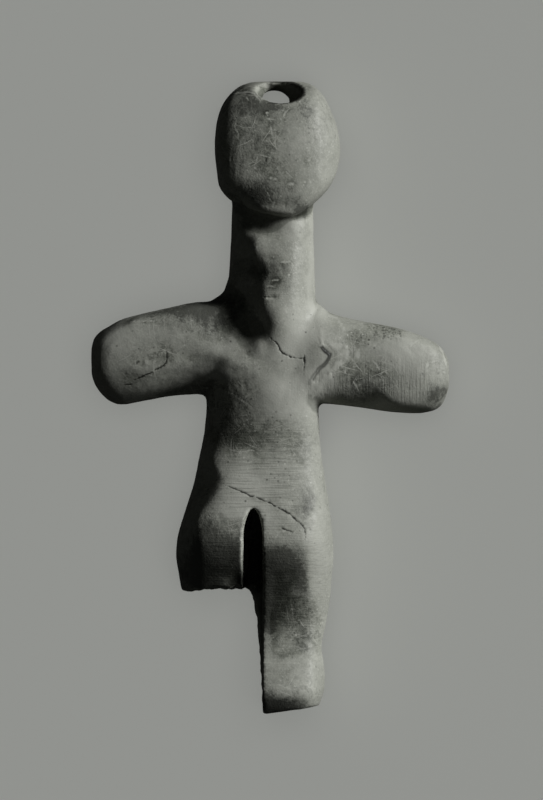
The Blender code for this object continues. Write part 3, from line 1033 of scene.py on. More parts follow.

# Scratches and nicks painted pale, partly as their own paleness and partly as painted glint where
# they catch the light, as on the tool marks of the neck
SCRATCHES_AND_GLINTS = (
    Trail(((237, 120), (235.5, 127), (238.5, 134), (238, 140)), 1.0, -0.02 * MM, 0.4, 53, 0.4),
    Trail(
        ((230, 94.5), (238, 93), (247, 92), (254, 93.5), (261, 102)),
        1.1, 0.02 * MM, 0.5, 57, 0.6,
    ),
    Trail(((247, 97), (249, 101)), 1.0, -0.02 * MM, 0.4, 58, 0.4),
    Trail(((290, 108), (286, 111), (283, 118)), 0.9, -0.02 * MM, 0.4, 54, 0.4),
    Trail(((270, 126), (274, 140)), 0.8, -0.02 * MM, 0.6, 59, 0.6),
    Trail(((286, 171), (292, 177)), 1.0, -0.02 * MM, 0.4, 55, 0.4),
    Trail(((267, 192), (274, 206)), 0.8, -0.02 * MM, 0.6, 60, 0.6),
    Trail(((281, 262), (291, 261.5)), 1.3, -0.03 * MM, 0.5, 43, 0.4),
    Trail(((272, 280), (279, 279.5)), 1.0, -0.03 * MM, 0.5, 44, 0.4),
    Trail(((267, 286), (275, 286.5)), 1.0, -0.03 * MM, 0.5, 45, 0.4),
    Trail(((265, 298.6), (277, 298.2)), 1.1, -0.02 * MM, 0.4, 61, 0.4),
    Trail(((353, 380), (357, 387), (360, 392)), 1.0, -0.03 * MM, 0.4, 46, 0.4),
    Trail(((373, 360), (377, 364), (380, 370)), 1.0, -0.03 * MM, 0.4, 47, 0.4),
    Trail(((427, 368), (430, 362), (436, 361)), 1.3, -0.02 * MM, 0.6, 49, 0.5),
    Trail(((433, 341), (440, 346), (444, 356), (446, 366)), 1.5, -0.02 * MM, 0.6, 50, 0.5),
    Trail(((411, 346), (415, 343), (418, 340)), 1.4, -0.02 * MM, 0.8, 51, 0.6),
    Trail(((131, 321.5), (143, 320.5), (156, 321)), 1.1, -0.02 * MM, 0.4, 52, 0.4),
    Trail(((231, 408), (246, 397), (262, 386)), 0.8, -0.02 * MM, 0.6, 62, 0.6),
    Trail(((228, 392), (244, 400), (256, 410)), 0.7, -0.02 * MM, 0.6, 63, 0.6),
    Trail(((330, 375), (338, 368)), 1.0, -0.02 * MM, 0.6, 64, 0.6),
    Trail(((226, 448), (240, 452), (256, 450)), 0.7, -0.02 * MM, 0.6, 65, 0.6),
)
# Light specks: across, down, half width, half height
SPECKS = (
    (358, 355, 2.6, 4.2), (255, 168, 1.3, 1.3), (230, 160, 1.4, 1.4), (271, 178, 1.5, 1.5),
    (275.5, 179, 1.2, 1.5), (291, 184, 3.4, 1.6), (267, 86, 3.2, 2.4), (267, 113, 1.6, 1.3),
    (207, 388, 1.2, 1.2), (147, 362, 2.0, 2.4), (237, 386, 1.8, 2.2), (284, 531, 1.8, 1.2),
    (345, 372, 1.2, 1.6), (381, 374, 1.0, 1.2), (309, 160, 1.6, 1.6), (274, 203, 1.2, 1.2),
    (305, 182, 1.3, 1.3), (284, 206, 1.1, 1.1), (289, 275, 1.2, 1.2), (257, 247, 1.3, 1.3),
)

# Where the surface is painted darker (above 0) or lighter (below 0): real stains and rubbed
# places, and with them painted shade where the stone turns from the key light or lies in a cast
# shadow, as under the chin, under the arms and on the left shoulder in the neck's shadow, and
# painted light on lit faces, as on the cord hole's left wall: across, down, half width, half
# height, how strongly and, where it is turned, its turn
STAINS_SHADE_AND_LIGHT = tuple(Swell(*row) for row in (
    # head
    (308, 89, 8, 8, 0.85), (243, 90, 18, 7, 0.35), (257, 94, 5, 12, -1), (255, 101, 8, 6, 0.7),
    (250, 106, 16, 12, 0.7), (280, 106, 14, 5, 0.7), (260, 107, 26, 8, 0.8),
    (303, 109, 8, 10, 0.6), (272, 110, 26, 8, 0.5), (309, 112, 6, 10, 0.5), (309, 117, 6, 14, 0.5),
    (328, 120, 14, 34, 0.45), (245, 132, 26, 50, 0.6), (251, 138, 12, 16, 0.4),
    (273, 138, 3.5, 12, 0.4, -12), (292, 138, 12, 26, -0.3), (279, 152, 12, 9, -0.4),
    (266.5, 161, 2.2, 4.5, 1), (276, 165, 4, 4, 0.45), (330, 170, 10, 18, -0.3),
    (256, 190, 20, 10, 1.3), (280, 193, 22, 12, 0.5), (261, 201, 8, 9, 1), (301, 204, 16, 9, 0.9),
    (300, 210, 12, 4, 1.6, -28),
    # neck
    (288, 226, 12, 8, -1), (285, 243, 6, 5, 0.5), (298, 258, 8, 60, 0.25), (312, 270, 5, 60, -0.6),
    (274, 275, 13, 14, 2.1), (318, 313, 10, 12, -0.6), (278, 325, 6, 14, 0.6),
    (302, 325, 18, 18, -0.5),
    # arms
    (208, 309, 36, 10, 2, -8), (158, 312, 50, 7, 1.3, -14), (218, 324, 18, 12, 1.5),
    (112, 326, 14, 10, -0.7), (387, 333, 15, 7, 0.6), (150, 335, 50, 16, -0.3),
    (360, 338, 11, 8, 0.45), (116, 340, 6, 7, -0.45), (243, 340, 7, 6, 0.6),
    (229, 345, 14, 8, -0.8), (447, 345, 7, 16, 0.6), (112, 346, 16, 20, -0.45),
    (385, 348, 34, 14, -0.5), (150, 350, 50, 34, -0.22), (162, 357, 8, 8, 0.55),
    (172, 361, 16, 5, 0.5), (402, 362, 40, 26, -0.35), (408, 366, 16, 24, -0.6),
    (446, 368, 8, 34, 0.5), (243, 369, 12, 5, 0.5), (218, 374, 20, 8, -0.8),
    (202, 377, 24, 6, -0.8), (326, 378, 9, 22, -0.7), (388, 383, 22, 9, 0.6),
    (352, 384, 15, 18, 1.1), (374, 384, 26, 14, 0.8), (326, 387, 11, 12, -0.8),
    (436, 396, 11, 10, 2.4), (232, 400, 22, 30, 0.2), (385, 403, 30, 6, -0.6),
    # chest and waist
    (265, 345, 6, 7, 0.4), (300, 345, 26, 16, -0.5), (313, 345, 7, 9, 0.6),
    (263, 346, 8, 12, -0.5), (280, 350, 18, 20, -0.25), (302, 372, 36, 36, -0.45),
    (318, 388, 10, 16, -0.9), (290, 392, 22, 20, -0.3), (282, 398, 18, 16, -0.5),
    (288, 406, 34, 18, -0.7), (245, 428, 12, 8, 0.5), (240, 440, 18, 10, 1.3),
    (300, 440, 16, 18, 0.25), (256, 449, 10, 6, 0.5), (304, 450, 7, 14, 0.6),
    (262, 458, 8, 12, 0.4), (262, 462, 44, 28, -0.45),
    # lap and legs
    (252, 486, 42, 22, -0.8), (303, 500, 9, 16, 1.2), (309, 505, 5, 14, 0.9),
    (232, 509, 24, 12, -1.3), (268, 518, 9, 12, -0.9), (240, 522, 14, 8, 0.6),
    (285, 522, 26, 12, -0.3), (206, 529, 11, 16, 1.2), (307, 541, 6, 9, -1),
    (320, 550, 9, 42, -0.7), (281, 567, 18, 20, 3.6), (221, 568, 32, 32, 5),
    (302, 584, 7, 17, 1.7), (278, 600, 17, 20, 1.8), (267, 618, 7, 30, 1.3),
    (302, 622, 14, 18, 0.4), (270, 624, 10, 14, 0.9), (305, 643, 7, 18, 0.8),
    (300, 651, 9, 4, 0.5), (279, 656, 16, 4, 0.6), (268, 660, 8, 10, -0.35),
    (286, 669, 16, 2.5, 0.5), (300, 672, 16, 12, -0.45), (268, 700, 9, 12, 2.6),
    (286, 706, 28, 7, 2),
))

# Painted near black: the flake off the broken edge
BLACKENED = (Swell(239, 584, 11, 8, 1.0),)

# Where fine lines run across the figure: the lap, the shin, the waist, the neck and the thigh
BRUSHED = (
    Swell(262, 488, 62, 42, 1.0),
    Swell(285, 600, 50, 70, 1.0),
    Swell(272, 442, 46, 22, 0.8),
    Swell(272, 288, 20, 18, 0.7),
    Swell(222, 560, 34, 30, 1.0),
)

# Where fine lines run along the figure: the arm on the right
COMBED = (Swell(385, 386, 70, 22, 1.0),)

# Where hairline scratches cover the stone: face, chest, both hands, thigh, waist, foot and shin
SCRATCHED = (
    Swell(252, 135, 38, 55, 1.0),
    Swell(238, 405, 34, 40, 1.0),
    Swell(145, 352, 60, 38, 0.9),
    Swell(375, 366, 48, 34, 0.8),
    Swell(228, 528, 28, 26, 0.9),
    Swell(262, 440, 44, 22, 0.4),
    Swell(290, 690, 30, 14, 0.8),
    Swell(303, 628, 14, 24, 0.8),
)

# Fields of pits: across, down, half width, half height, how many, radius, depth, seed
PIT_FIELDS = (
    Pits(387, 332, 16, 8, 60, 0.9, 0.04 * MM, 31),
    Pits(359, 338, 10, 8, 26, 0.8, 0.03 * MM, 32),
    Pits(266, 160, 0.6, 2.2, 4, 1.3, 0.05 * MM, 33),
    Pits(138, 362, 3, 2, 3, 1.5, 0.06 * MM, 35),
    Pits(300, 620, 14, 20, 40, 0.9, 0.03 * MM, 36),
    Pits(280, 470, 12, 16, 9, 1.0, 0.04 * MM, 37),
)


@dataclass
class WorkedStone:
    """The idol as it is: the carved form with its unevenness, marks, cracks, chips and pits."""

    form: CarvedForm = field(default_factory=CarvedForm)
    # Height and width of the broad unevenness and of the fine pecking
    ground: float = 0.045 * MM
    ground_width: float = 0.0042
    pecked: float = 0.012 * MM
    pecked_width: float = 0.0011
    torn_depth: float = 0.09 * MM
    torn_width: float = 0.0007
    # The length of edge wanted on a mark, in parts of the first, and its growth for each pixel off
    fine_edge: float = 0.00013
    on_mark: float = 1.35
    off_mark: float = 0.5
    refinings: int = 2
    # Points that evening moves less than the second are evened, those past the first are left
    kept_move: tuple[float, float] = (0.05 * MM, 0.02 * MM)
    melting_rounds: int = 160
    evening_rounds: int = 10
    hollow_rounds: int = 24
    hollow_depth: float = 0.10 * MM
    # The painted shade inside the cord hole: its middle and radii, and where the light falls on
    # its rim, which is left unshaded
    hole_mouth: tuple[float, float, float, float] = (280, 92, 26, 12)
    lit_rim: tuple[float, float] = (265, 272)
    hole_darkness: float = 0.9
    spot_darkness: float = 0.85
    pit_darkness: float = 0.5
    speck_paleness: float = 1.3
    least_scratched: float = 0.15
    # The forward tilt of the normals over which swells, wear and marks come in
    swell_tilt: tuple[float, float] = (-0.1, 0.35)
    wear_tilt: tuple[float, float] = (0.0, 0.4)
    mark_tilt: tuple[float, float] = (0.0, 0.3)
    # The broken face of the thigh: its level, how far round that it reaches, and its right end
    torn_thigh: tuple[float, float, float, float] = (-30.3, 2.2, 1.4, -3.2)
    # The torn edge of the web: its depth, its ends across, and its top
    torn_web: tuple[float, float, float, float, float] = (4.6, 3.8, -3.6, 0.6, -31.0)
    # How far the stains and the painted shade and light are pushed about, in pixels
    stain_shade_light_stray: float = 5.0
    stray_width: float = 20.0
    name: str = "carved_idol"

    def shape(self) -> tuple[Shell, Painted]:
        """Works the marks into the form.

        Returns:
            The finished skin, and what is painted on each of its points.
        """
        shell = self.form.shell()
        LOG.info("form: %d triangles", len(shell.faces))
        shell = self.ground_uneven(self.melted(self.evened(shell)))
        for _ in range(self.refinings):
            shell = self.finer(shell)
        LOG.info("refined: %d triangles", len(shell.faces))
        return self.marked(shell)

    def evened(self, shell: Shell) -> Shell:
        """Rubs the terraces of the remeshing out, and leaves the sharp edges as they are.

        Args:
            shell: the carved form.

        Returns:
            The evened skin.
        """
        even = shell.averaged(shell.points, self.evening_rounds)
        moved = np.linalg.norm(even - shell.points, axis=1)
        share = smooth_step(moved, *self.kept_move)[:, None]
        return Shell(shell.points + share * (even - shell.points), shell.faces)

    def melted(self, shell: Shell) -> Shell:
        """Wears the joins of the front into one another where MELTED says.

        Args:
            shell: the evened skin.

        Returns:
            The worn skin.
        """
        facing = shell.averaged(smooth_step(shell.normals()[:, 2], *self.wear_tilt), 10)
        share = np.clip(bells(MELTED, PHOTO.pixels(shell.points)), 0, 1) * facing
        worn = shell.averaged(shell.points, self.melting_rounds)
        return Shell(shell.points + share[:, None] * (worn - shell.points), shell.faces)

    def ground_uneven(self, shell: Shell) -> Shell:
        """Moves the skin in and out by broad swells, hand-ground facets and a light pecking.

        Args:
            shell: the worn skin.

        Returns:
            The uneven skin.
        """
        normals = shell.normals()
        front = smooth_step(normals[:, 2], *self.swell_tilt)
        height = front * bells(SWELLS, PHOTO.pixels(shell.points))
        height = height + self.ground * cloudy(shell.points / self.ground_width, 3, 2)
        height = height + self.pecked * cloudy(shell.points / self.pecked_width, 4, 2)
        return Shell(shell.points + height[:, None] * normals, shell.faces)

    def finer(self, shell: Shell) -> Shell:
        """Halves the edges near cracks, mends and pits, on the front only.

        Args:
            shell: the skin.

        Returns:
            The finer skin.
        """
        pixels = PHOTO.pixels(shell.points)
        front = shell.normals()[:, 2] > 0.1
        near = np.full(len(pixels), FAR)
        for across, down, wide, tall in SPECKS:
            far = np.linalg.norm(pixels - (across, down), axis=1)
            near = np.minimum(near, far - max(wide, tall))
        for trail in (*CRACKS, RECESS_EDGE, *GROOVES, *SCRATCHES_AND_GLINTS):
            far, _ = trail.nearest(pixels)
            near = np.minimum(near, np.abs(far) - trail.half_width)
        for pits in PIT_FIELDS:
            off = np.abs(pixels - (pits.across, pits.down)) - (pits.wide, pits.tall)
            near = np.minimum(near, np.linalg.norm(np.maximum(off, 0), axis=1) - pits.radius)
        wanted = self.fine_edge * (self.on_mark + np.maximum(near, 0) * self.off_mark)
        return shell.split(np.where(front, wanted, 1.0))

    def marked(self, shell: Shell) -> tuple[Shell, Painted]:
        """Cuts the cracks, mends, tears and pits, and paints the channels the finish reads.

        Each mark's share, from 0 to 1, times its height moves the skin along its normals, and
        ramps of the same share are its darkness or paleness.

        Args:
            shell: the refined skin.

        Returns:
            The marked skin, and what is painted on each of its points.
        """
        pixels = PHOTO.pixels(shell.points)
        normals = shell.normals()
        front = smooth_step(normals[:, 2], *self.mark_tilt)
        dark = self.shaded_hole_and_black_spots(pixels, normals)
        height, pale, free_of_stain_shade_light = np.zeros_like(front), np.zeros_like(front), np.ones_like(front)
        for crack in CRACKS:
            share = crack.share(pixels) * front
            height += crack.height * share
            dark = np.maximum(dark, smooth_step(share, 0.1, 0.8))
        for groove in GROOVES:
            share = groove.share(pixels)
            height += groove.height * share * front
            free_of_stain_shade_light = np.minimum(free_of_stain_shade_light, smooth_step(share, 0.35, 0.05))
        inside, edge = self.recess(pixels)
        height += RECESS_EDGE.height * inside * front
        # Painted shadow along the recess edge
        dark = np.maximum(dark, edge * front)
        for band in MEND_BANDS:
            share = smooth_step(band.share(pixels), 0.0, 0.9) * front
            height += band.height * share
            pale = np.maximum(pale, share)
        # Scratches painted pale, partly as painted glint where they catch the light
        for scratch_and_glint in SCRATCHES_AND_GLINTS:
            share = scratch_and_glint.share(pixels) * front
            height += scratch_and_glint.height * share
            pale = np.maximum(pale, smooth_step(share, 0.0, 0.5))
        for speck in SPECKS:
            share = Swell(*speck, 1.0).share(pixels) * front
            pale = np.maximum(pale, self.speck_paleness * smooth_step(share, 0.2, 0.7))
        for pits in PIT_FIELDS:
            share = pits.share(pixels) * front
            height -= pits.depth * share
            dark = np.maximum(dark, self.pit_darkness * smooth_step(share, 0.0, 0.9))
        torn = self.torn(shell.points, normals)
        height += self.torn_depth * torn * cloudy(shell.points / self.torn_width, 9, 3)
        moved = shell.points + height[:, None] * normals
        moved[:, 2] = np.maximum(moved[:, 2], 0.0)
        worked = Shell(moved, shell.faces)
        # Stains, painted shade and painted light, kept out of the clean grooves
        stray = stacked(*(cloudy(pixels / self.stray_width, seed, 4) for seed in (71, 72)))
        stain_shade_and_light = front * free_of_stain_shade_light * bells(STAINS_SHADE_AND_LIGHT, pixels + self.stain_shade_light_stray * stray)
        return worked, {
            Channel.DARK: dark,
            Channel.PALE: pale,
            Channel.TORN: torn,
            Channel.BRUSHED: np.clip(bells(BRUSHED, pixels), 0, 1),
            Channel.COMBED: bells(COMBED, pixels),
            Channel.SCRATCHED: np.clip(self.least_scratched + bells(SCRATCHED, pixels), 0, 1),
            Channel.STAINED_SHADED_AND_LIT: STAIN_SHADE_LIGHT_NONE + STAIN_SHADE_LIGHT_STEP * stain_shade_and_light,
            Channel.HOLLOW: self.hollow(worked),
        }

    def shaded_hole_and_black_spots(self, pixels: np.ndarray, normals: np.ndarray) -> np.ndarray:
        """Painted shade inside the cord hole, and the black painted on the spots of BLACKENED.

        Args:
            pixels: where each point shows in the photograph.
            normals: the way out at each.

        Returns:
            The darkness at each, 0 to 0.9.
        """
        across, down, wide, tall = self.hole_mouth
        inner = np.hypot((pixels[:, 0] - across) / wide, (pixels[:, 1] - down) / tall) < 1
        inner = inner * smooth_step(normals[:, 2], 0.93, 0.75)
        # Painted shade inside the cord hole, left off its lit left wall
        dark = self.hole_darkness * inner * smooth_step(pixels[:, 0], *self.lit_rim)
        facing = smooth_step(normals[:, 2], -0.4, 0.0)
        for spot in BLACKENED:
            share = smooth_step(spot.share(pixels), 0.25, 0.6)
            dark = np.maximum(dark, self.spot_darkness * share * facing)
        return dark

    def recess(self, pixels: np.ndarray) -> tuple[np.ndarray, np.ndarray]:
        """The chipped recess of the mend: a step down at its edge that fades out away from it,
        with painted shadow along the edge.

        Args:
            pixels: where each point shows in the photograph.

        Returns:
            The share of the step's depth at each point, and the painted shadow along its edge.
        """
        far, along = RECESS_EDGE.nearest(pixels)
        inside = smooth_step(-far, -0.6, 0.6) * smooth_step(-far, 9.0, 0.5)
        inside = inside * smooth_step(np.minimum(along, 1 - along), 0.0, 0.1)
        edge = smooth_step(np.abs(far - 0.3), 3.0, 1.1) * smooth_step(along, 0.0, 0.06)
        return inside, edge * np.clip(1.25 - 0.9 * along, 0, 1)

    def torn(self, points: np.ndarray, normals: np.ndarray) -> np.ndarray:
        """Finds the faces where the leg and the web broke away.

        Args:
            points: places in metres.
            normals: the way out at each.

        Returns:
            1 there, 0 elsewhere.
        """
        x, y, z = (points / UNIT).T
        level, outer, inner, right = self.torn_thigh
        thigh = smooth_step(np.abs(y - level), outer, inner) * (x < right)
        front, back, left, right, top = self.torn_web
        web = smooth_step(z, front, back) * (x > left) * (x < right) * (y < top)
        return np.maximum(thigh * (normals[:, 1] < -0.75), web * (normals[:, 0] < -0.3))

    def hollow(self, shell: Shell) -> np.ndarray:
        """How far each point lies below or above the skin around it.

        Args:
            shell: the skin.

        Returns:
            0.5 where it is level, up to 1 in a hollow and down to 0 on a rise.
        """
        mean = shell.averaged(shell.points, self.hollow_rounds, 0.6)
        rise = ((shell.points - mean) * shell.normals()).sum(axis=1)
        return np.clip(0.5 - shell.averaged(rise, 2) / self.hollow_depth, 0, 1)

    def build(self) -> bpy.types.Object:
        """Puts the skin and its channels in an object that stands for the plain solid.

        Returns:
            The object.
        """
        shell, painted = self.shape()
        mesh = bpy.data.meshes.new(self.name)
        mesh.vertices.add(len(shell.points))
        mesh.vertices.foreach_set("co", shell.points.astype(np.float32).ravel())
        mesh.loops.add(len(shell.faces) * 3)
        mesh.loops.foreach_set("vertex_index", shell.faces.astype(np.int32).ravel())
        mesh.polygons.add(len(shell.faces))
        starts = np.arange(0, len(shell.faces) * 3, 3, dtype=np.int32)
        mesh.polygons.foreach_set("loop_start", starts)
        mesh.update(calc_edges=True)
        mesh.polygons.foreach_set("use_smooth", np.ones(len(shell.faces), bool))
        for channel, values in painted.items():
            layer = mesh.attributes.new(channel.value, "FLOAT", "POINT")
            layer.data.foreach_set("value", values.astype(np.float32))
        mesh.validate()
        idol = new_object(self.name, mesh)
        LOG.info("%s: %d triangles", self.name, len(mesh.polygons))
        return idol


class Bench:
    """Lays out a material's nodes and wires them."""

    def __init__(self, material: bpy.types.Material) -> None:
        """Keeps the material's node tree at hand."""
        self.tree = material.node_tree

    def node(self, kind: str, **settings: object) -> bpy.types.Node:
        """Adds a node.

        Args:
            kind: its type.
            settings: its properties by name.

        Returns:
            The node.
        """
        made = self.tree.nodes.new(kind)
        for name, value in settings.items():
            setattr(made, name, value)
        return made

    def put(self, socket: Socket, value: object) -> None:
        """Wires a socket to the value, or sets it.

        Args:
            socket: an input.
            value: another node's output, or what the input is set to.
        """
        if isinstance(value, Socket):
            self.tree.links.new(value, socket)
        else:
            socket.default_value = value

    def math(self, operation: str, first: object, second: object, clamp: bool = False) -> Socket:
        """A step on two numbers.

        Args:
            operation: which one.
            first: a number or an output.
            second: the same.
            clamp: whether the result is kept from 0 to 1.

        Returns:
            The result.
        """
        made = self.node("ShaderNodeMath", operation=operation, use_clamp=clamp)
        self.put(made.inputs[0], first)
        self.put(made.inputs[1], second)
        return made.outputs[0]

    def times(self, first: object, second: object, clamp: bool = False) -> Socket:
        """The product of two numbers."""
        return self.math("MULTIPLY", first, second, clamp)

    def plus(self, first: object, second: object) -> Socket:
        """The sum of two numbers."""
        return self.math("ADD", first, second)

    def minus(self, first: object, second: object) -> Socket:
        """The first number less the second."""
        return self.math("SUBTRACT", first, second)

    def ramp(
        self, value: object, low: float, high: float, start: float = 0.0, end: float = 1.0
    ) -> Socket:
        """A soft ramp.

        Args:
            value: what is ramped.
            low: where the ramp starts.
            high: where it ends.
            start: the result up to low.
            end: the result from high on.

        Returns:
            The ramp's value.
        """
        made = self.node("ShaderNodeMapRange", interpolation_type="SMOOTHSTEP")
        for socket, given in zip(made.inputs, (value, low, high, start, end)):
            self.put(socket, given)
        return made.outputs[0]

    def blend(self, share: object, first: object, second: object) -> Socket:
        """A colour between two.

        Args:
            share: how much of the second, 0 to 1.
            first: a colour.
            second: the other colour.

        Returns:
            The colour between.
        """
        made = self.node("ShaderNodeMix", data_type="RGBA")
        factor, before, after = (made.inputs[k] for k in (0, 6, 7))
        self.put(factor, share)
        self.put(before, first)
        self.put(after, second)
        return made.outputs[2]

    def place(self, turn: tuple = (0.0, 0.0, 0.0), stretch: tuple = (1.0, 1.0, 1.0)) -> Socket:
        """Object coordinates, turned and stretched.

        Args:
            turn: the angles about x, y and z.
            stretch: how much each is multiplied by after that.

        Returns:
            The coordinates.
        """
        turned = self.node("ShaderNodeVectorRotate", rotation_type="EULER_XYZ")
        self.put(turned.inputs["Vector"], self.node("ShaderNodeTexCoord").outputs["Object"])
        turned.inputs["Rotation"].default_value = turn
        return self.drawn(turned.outputs[0], stretch)

    def drawn(self, place: Socket, stretch: tuple) -> Socket:
        """Coordinates stretched.

        Args:
            place: the coordinates.
            stretch: what x, y and z are multiplied by.

        Returns:
            The stretched coordinates.
        """
        made = self.node("ShaderNodeVectorMath", operation="MULTIPLY")
        self.put(made.inputs[0], place)
        made.inputs[1].default_value = stretch
        return made.outputs[0]

    def noise(
        self, place: Socket, scale: float, detail: float, rough: float, bend: float = 0.0
    ) -> bpy.types.Node:
        """Cloudy noise.

        Args:
            place: where.
            scale: how many patterns there are in a metre.
            detail: how many finer layers it has.
            rough: how strong each is beside the last.
            bend: how far it is bent by itself.

        Returns:
            The noise's node: its first output is the number.
        """
        made = self.node("ShaderNodeTexNoise")
        self.put(made.inputs["Vector"], place)
        given = {"Scale": scale, "Detail": detail, "Roughness": rough, "Distortion": bend}
        for name, value in given.items():
            made.inputs[name].default_value = value
        return made

    def marks(self, place: Socket, size: float, kept: float, flat: bool = False) -> Socket:
        """A mark at the middle of a few cells: 1 at its middle, 0 from its rim on.

        Args:
            place: where, in cell widths.
            size: the marks' radius, in cell widths.
            kept: the share of cells that hold one.
            flat: whether the marks run straight through the depth.

        Returns:
            The marks.
        """
        cells = self.node("ShaderNodeTexVoronoi", voronoi_dimensions="2D" if flat else "3D")
        self.put(cells.inputs["Vector"], place)
        cells.inputs["Scale"].default_value = 1.0
        parts = self.node("ShaderNodeSeparateColor")
        self.put(parts.inputs[0], cells.outputs["Color"])
        chosen = self.math("GREATER_THAN", parts.outputs[0], 1 - kept)
        reach = self.times(self.ramp(parts.outputs[1], 0.0, 1.0, 0.45, 1.0), size)
        inside = self.minus(1.0, self.math("DIVIDE", cells.outputs["Distance"], reach))
        return self.times(self.ramp(inside, 0.0, 0.8), chosen)

    def painted(self, channel: Channel) -> Socket:
        """A channel painted on the stone."""
        return self.node("ShaderNodeAttribute", attribute_name=channel.value).outputs["Fac"]


@dataclass(frozen=True)
class Steatite:
    """The stone's finish: grey-green soapstone rubbed to a satin, mottled, with stains, painted
    shade and painted light.
    """

    light: tuple = (0.355, 0.365, 0.318, 1.0)
    middle: tuple = (0.255, 0.265, 0.226, 1.0)
    # The dark tone: blotches, stains, painted shade, rubbed lines and hollows
    deep: tuple = (0.085, 0.091, 0.074, 1.0)
    # The pale tone of grain, specks and scratches, also laid as painted glint on the hairlines
    scratch_and_glint: tuple = (0.58, 0.59, 0.53, 1.0)
    # The pale tone of the mend, rubbed places, rises and torn faces, also laid as painted light on
    # lit faces and as painted glint on scratches
    pale_mend_and_light: tuple = (0.46, 0.47, 0.42, 1.0)
    # Near black: cracks, pits and pocks, and painted shade in the cord hole, along the recess edge
    # and where the stains and painted shade are deepest
    soot_and_shade: tuple = (0.018, 0.019, 0.015, 1.0)
    roughness: tuple[float, float] = (0.49, 0.65)
    torn_roughness: float = 0.25
    deepest_gloss: float = 0.20
    shine: float = 0.35
    relief: float = 0.00013
    # Patterns in a metre: clouds, blotches, grain, rubbed lines, streaks, the scratches' sway
    broad_scale: float = 170.0
    fine_scale: float = 1100.0
    grain_scale: float = 3400.0
    line_scale: float = 190.0
    streak_scale: float = 230.0
    sway_scale: float = 220.0
    sway: float = 0.0012
    # How far a line's pattern is pressed together across the line, and in depth
    line_press: tuple[float, float] = (22.0, 6.0)
    streak_press: tuple[float, float] = (16.0, 6.0)
    # Each: cells in a metre, radius in cell widths, share of cells that hold one
    specks: tuple[float, float, float] = (1900.0, 0.42, 0.10)
    pocks: tuple[float, float, float] = (1700.0, 0.45, 0.13)
    hair_radius: float = 0.42
    hair_share: float = 0.08
    # Each way the scratches run: its turn, and the length and spacing of its cells in metres
    scratch_ways: tuple = (
        (0.30, 0.0050, 0.00022),
        (0.95, 0.0036, 0.00020),
        (1.45, 0.0060, 0.00024),
        (2.05, 0.0042, 0.00020),
        (2.75, 0.0055, 0.00022),
        (-0.15, 0.0034, 0.00018),
    )

    def build(self) -> bpy.types.Material:
        """Lays out the finish.

        Returns:
            The material.
        """
        material = bpy.data.materials.new("steatite_worn")
        material.use_nodes = True
        shader = material.node_tree.nodes["Principled BSDF"]
        coat = Coat(self, Bench(material))
        for layer in (coat.stone, coat.stains_shade_and_light, coat.scratches_and_glints, coat.hollows_and_deepest, coat.marks):
            layer()
        for name, value in (
            ("Base Color", coat.colour), ("Roughness", coat.roughness()), ("Normal", coat.relief())
        ):
            coat.bench.put(shader.inputs[name], value)
        shader.inputs["Specular IOR Level"].default_value = self.shine
        return material


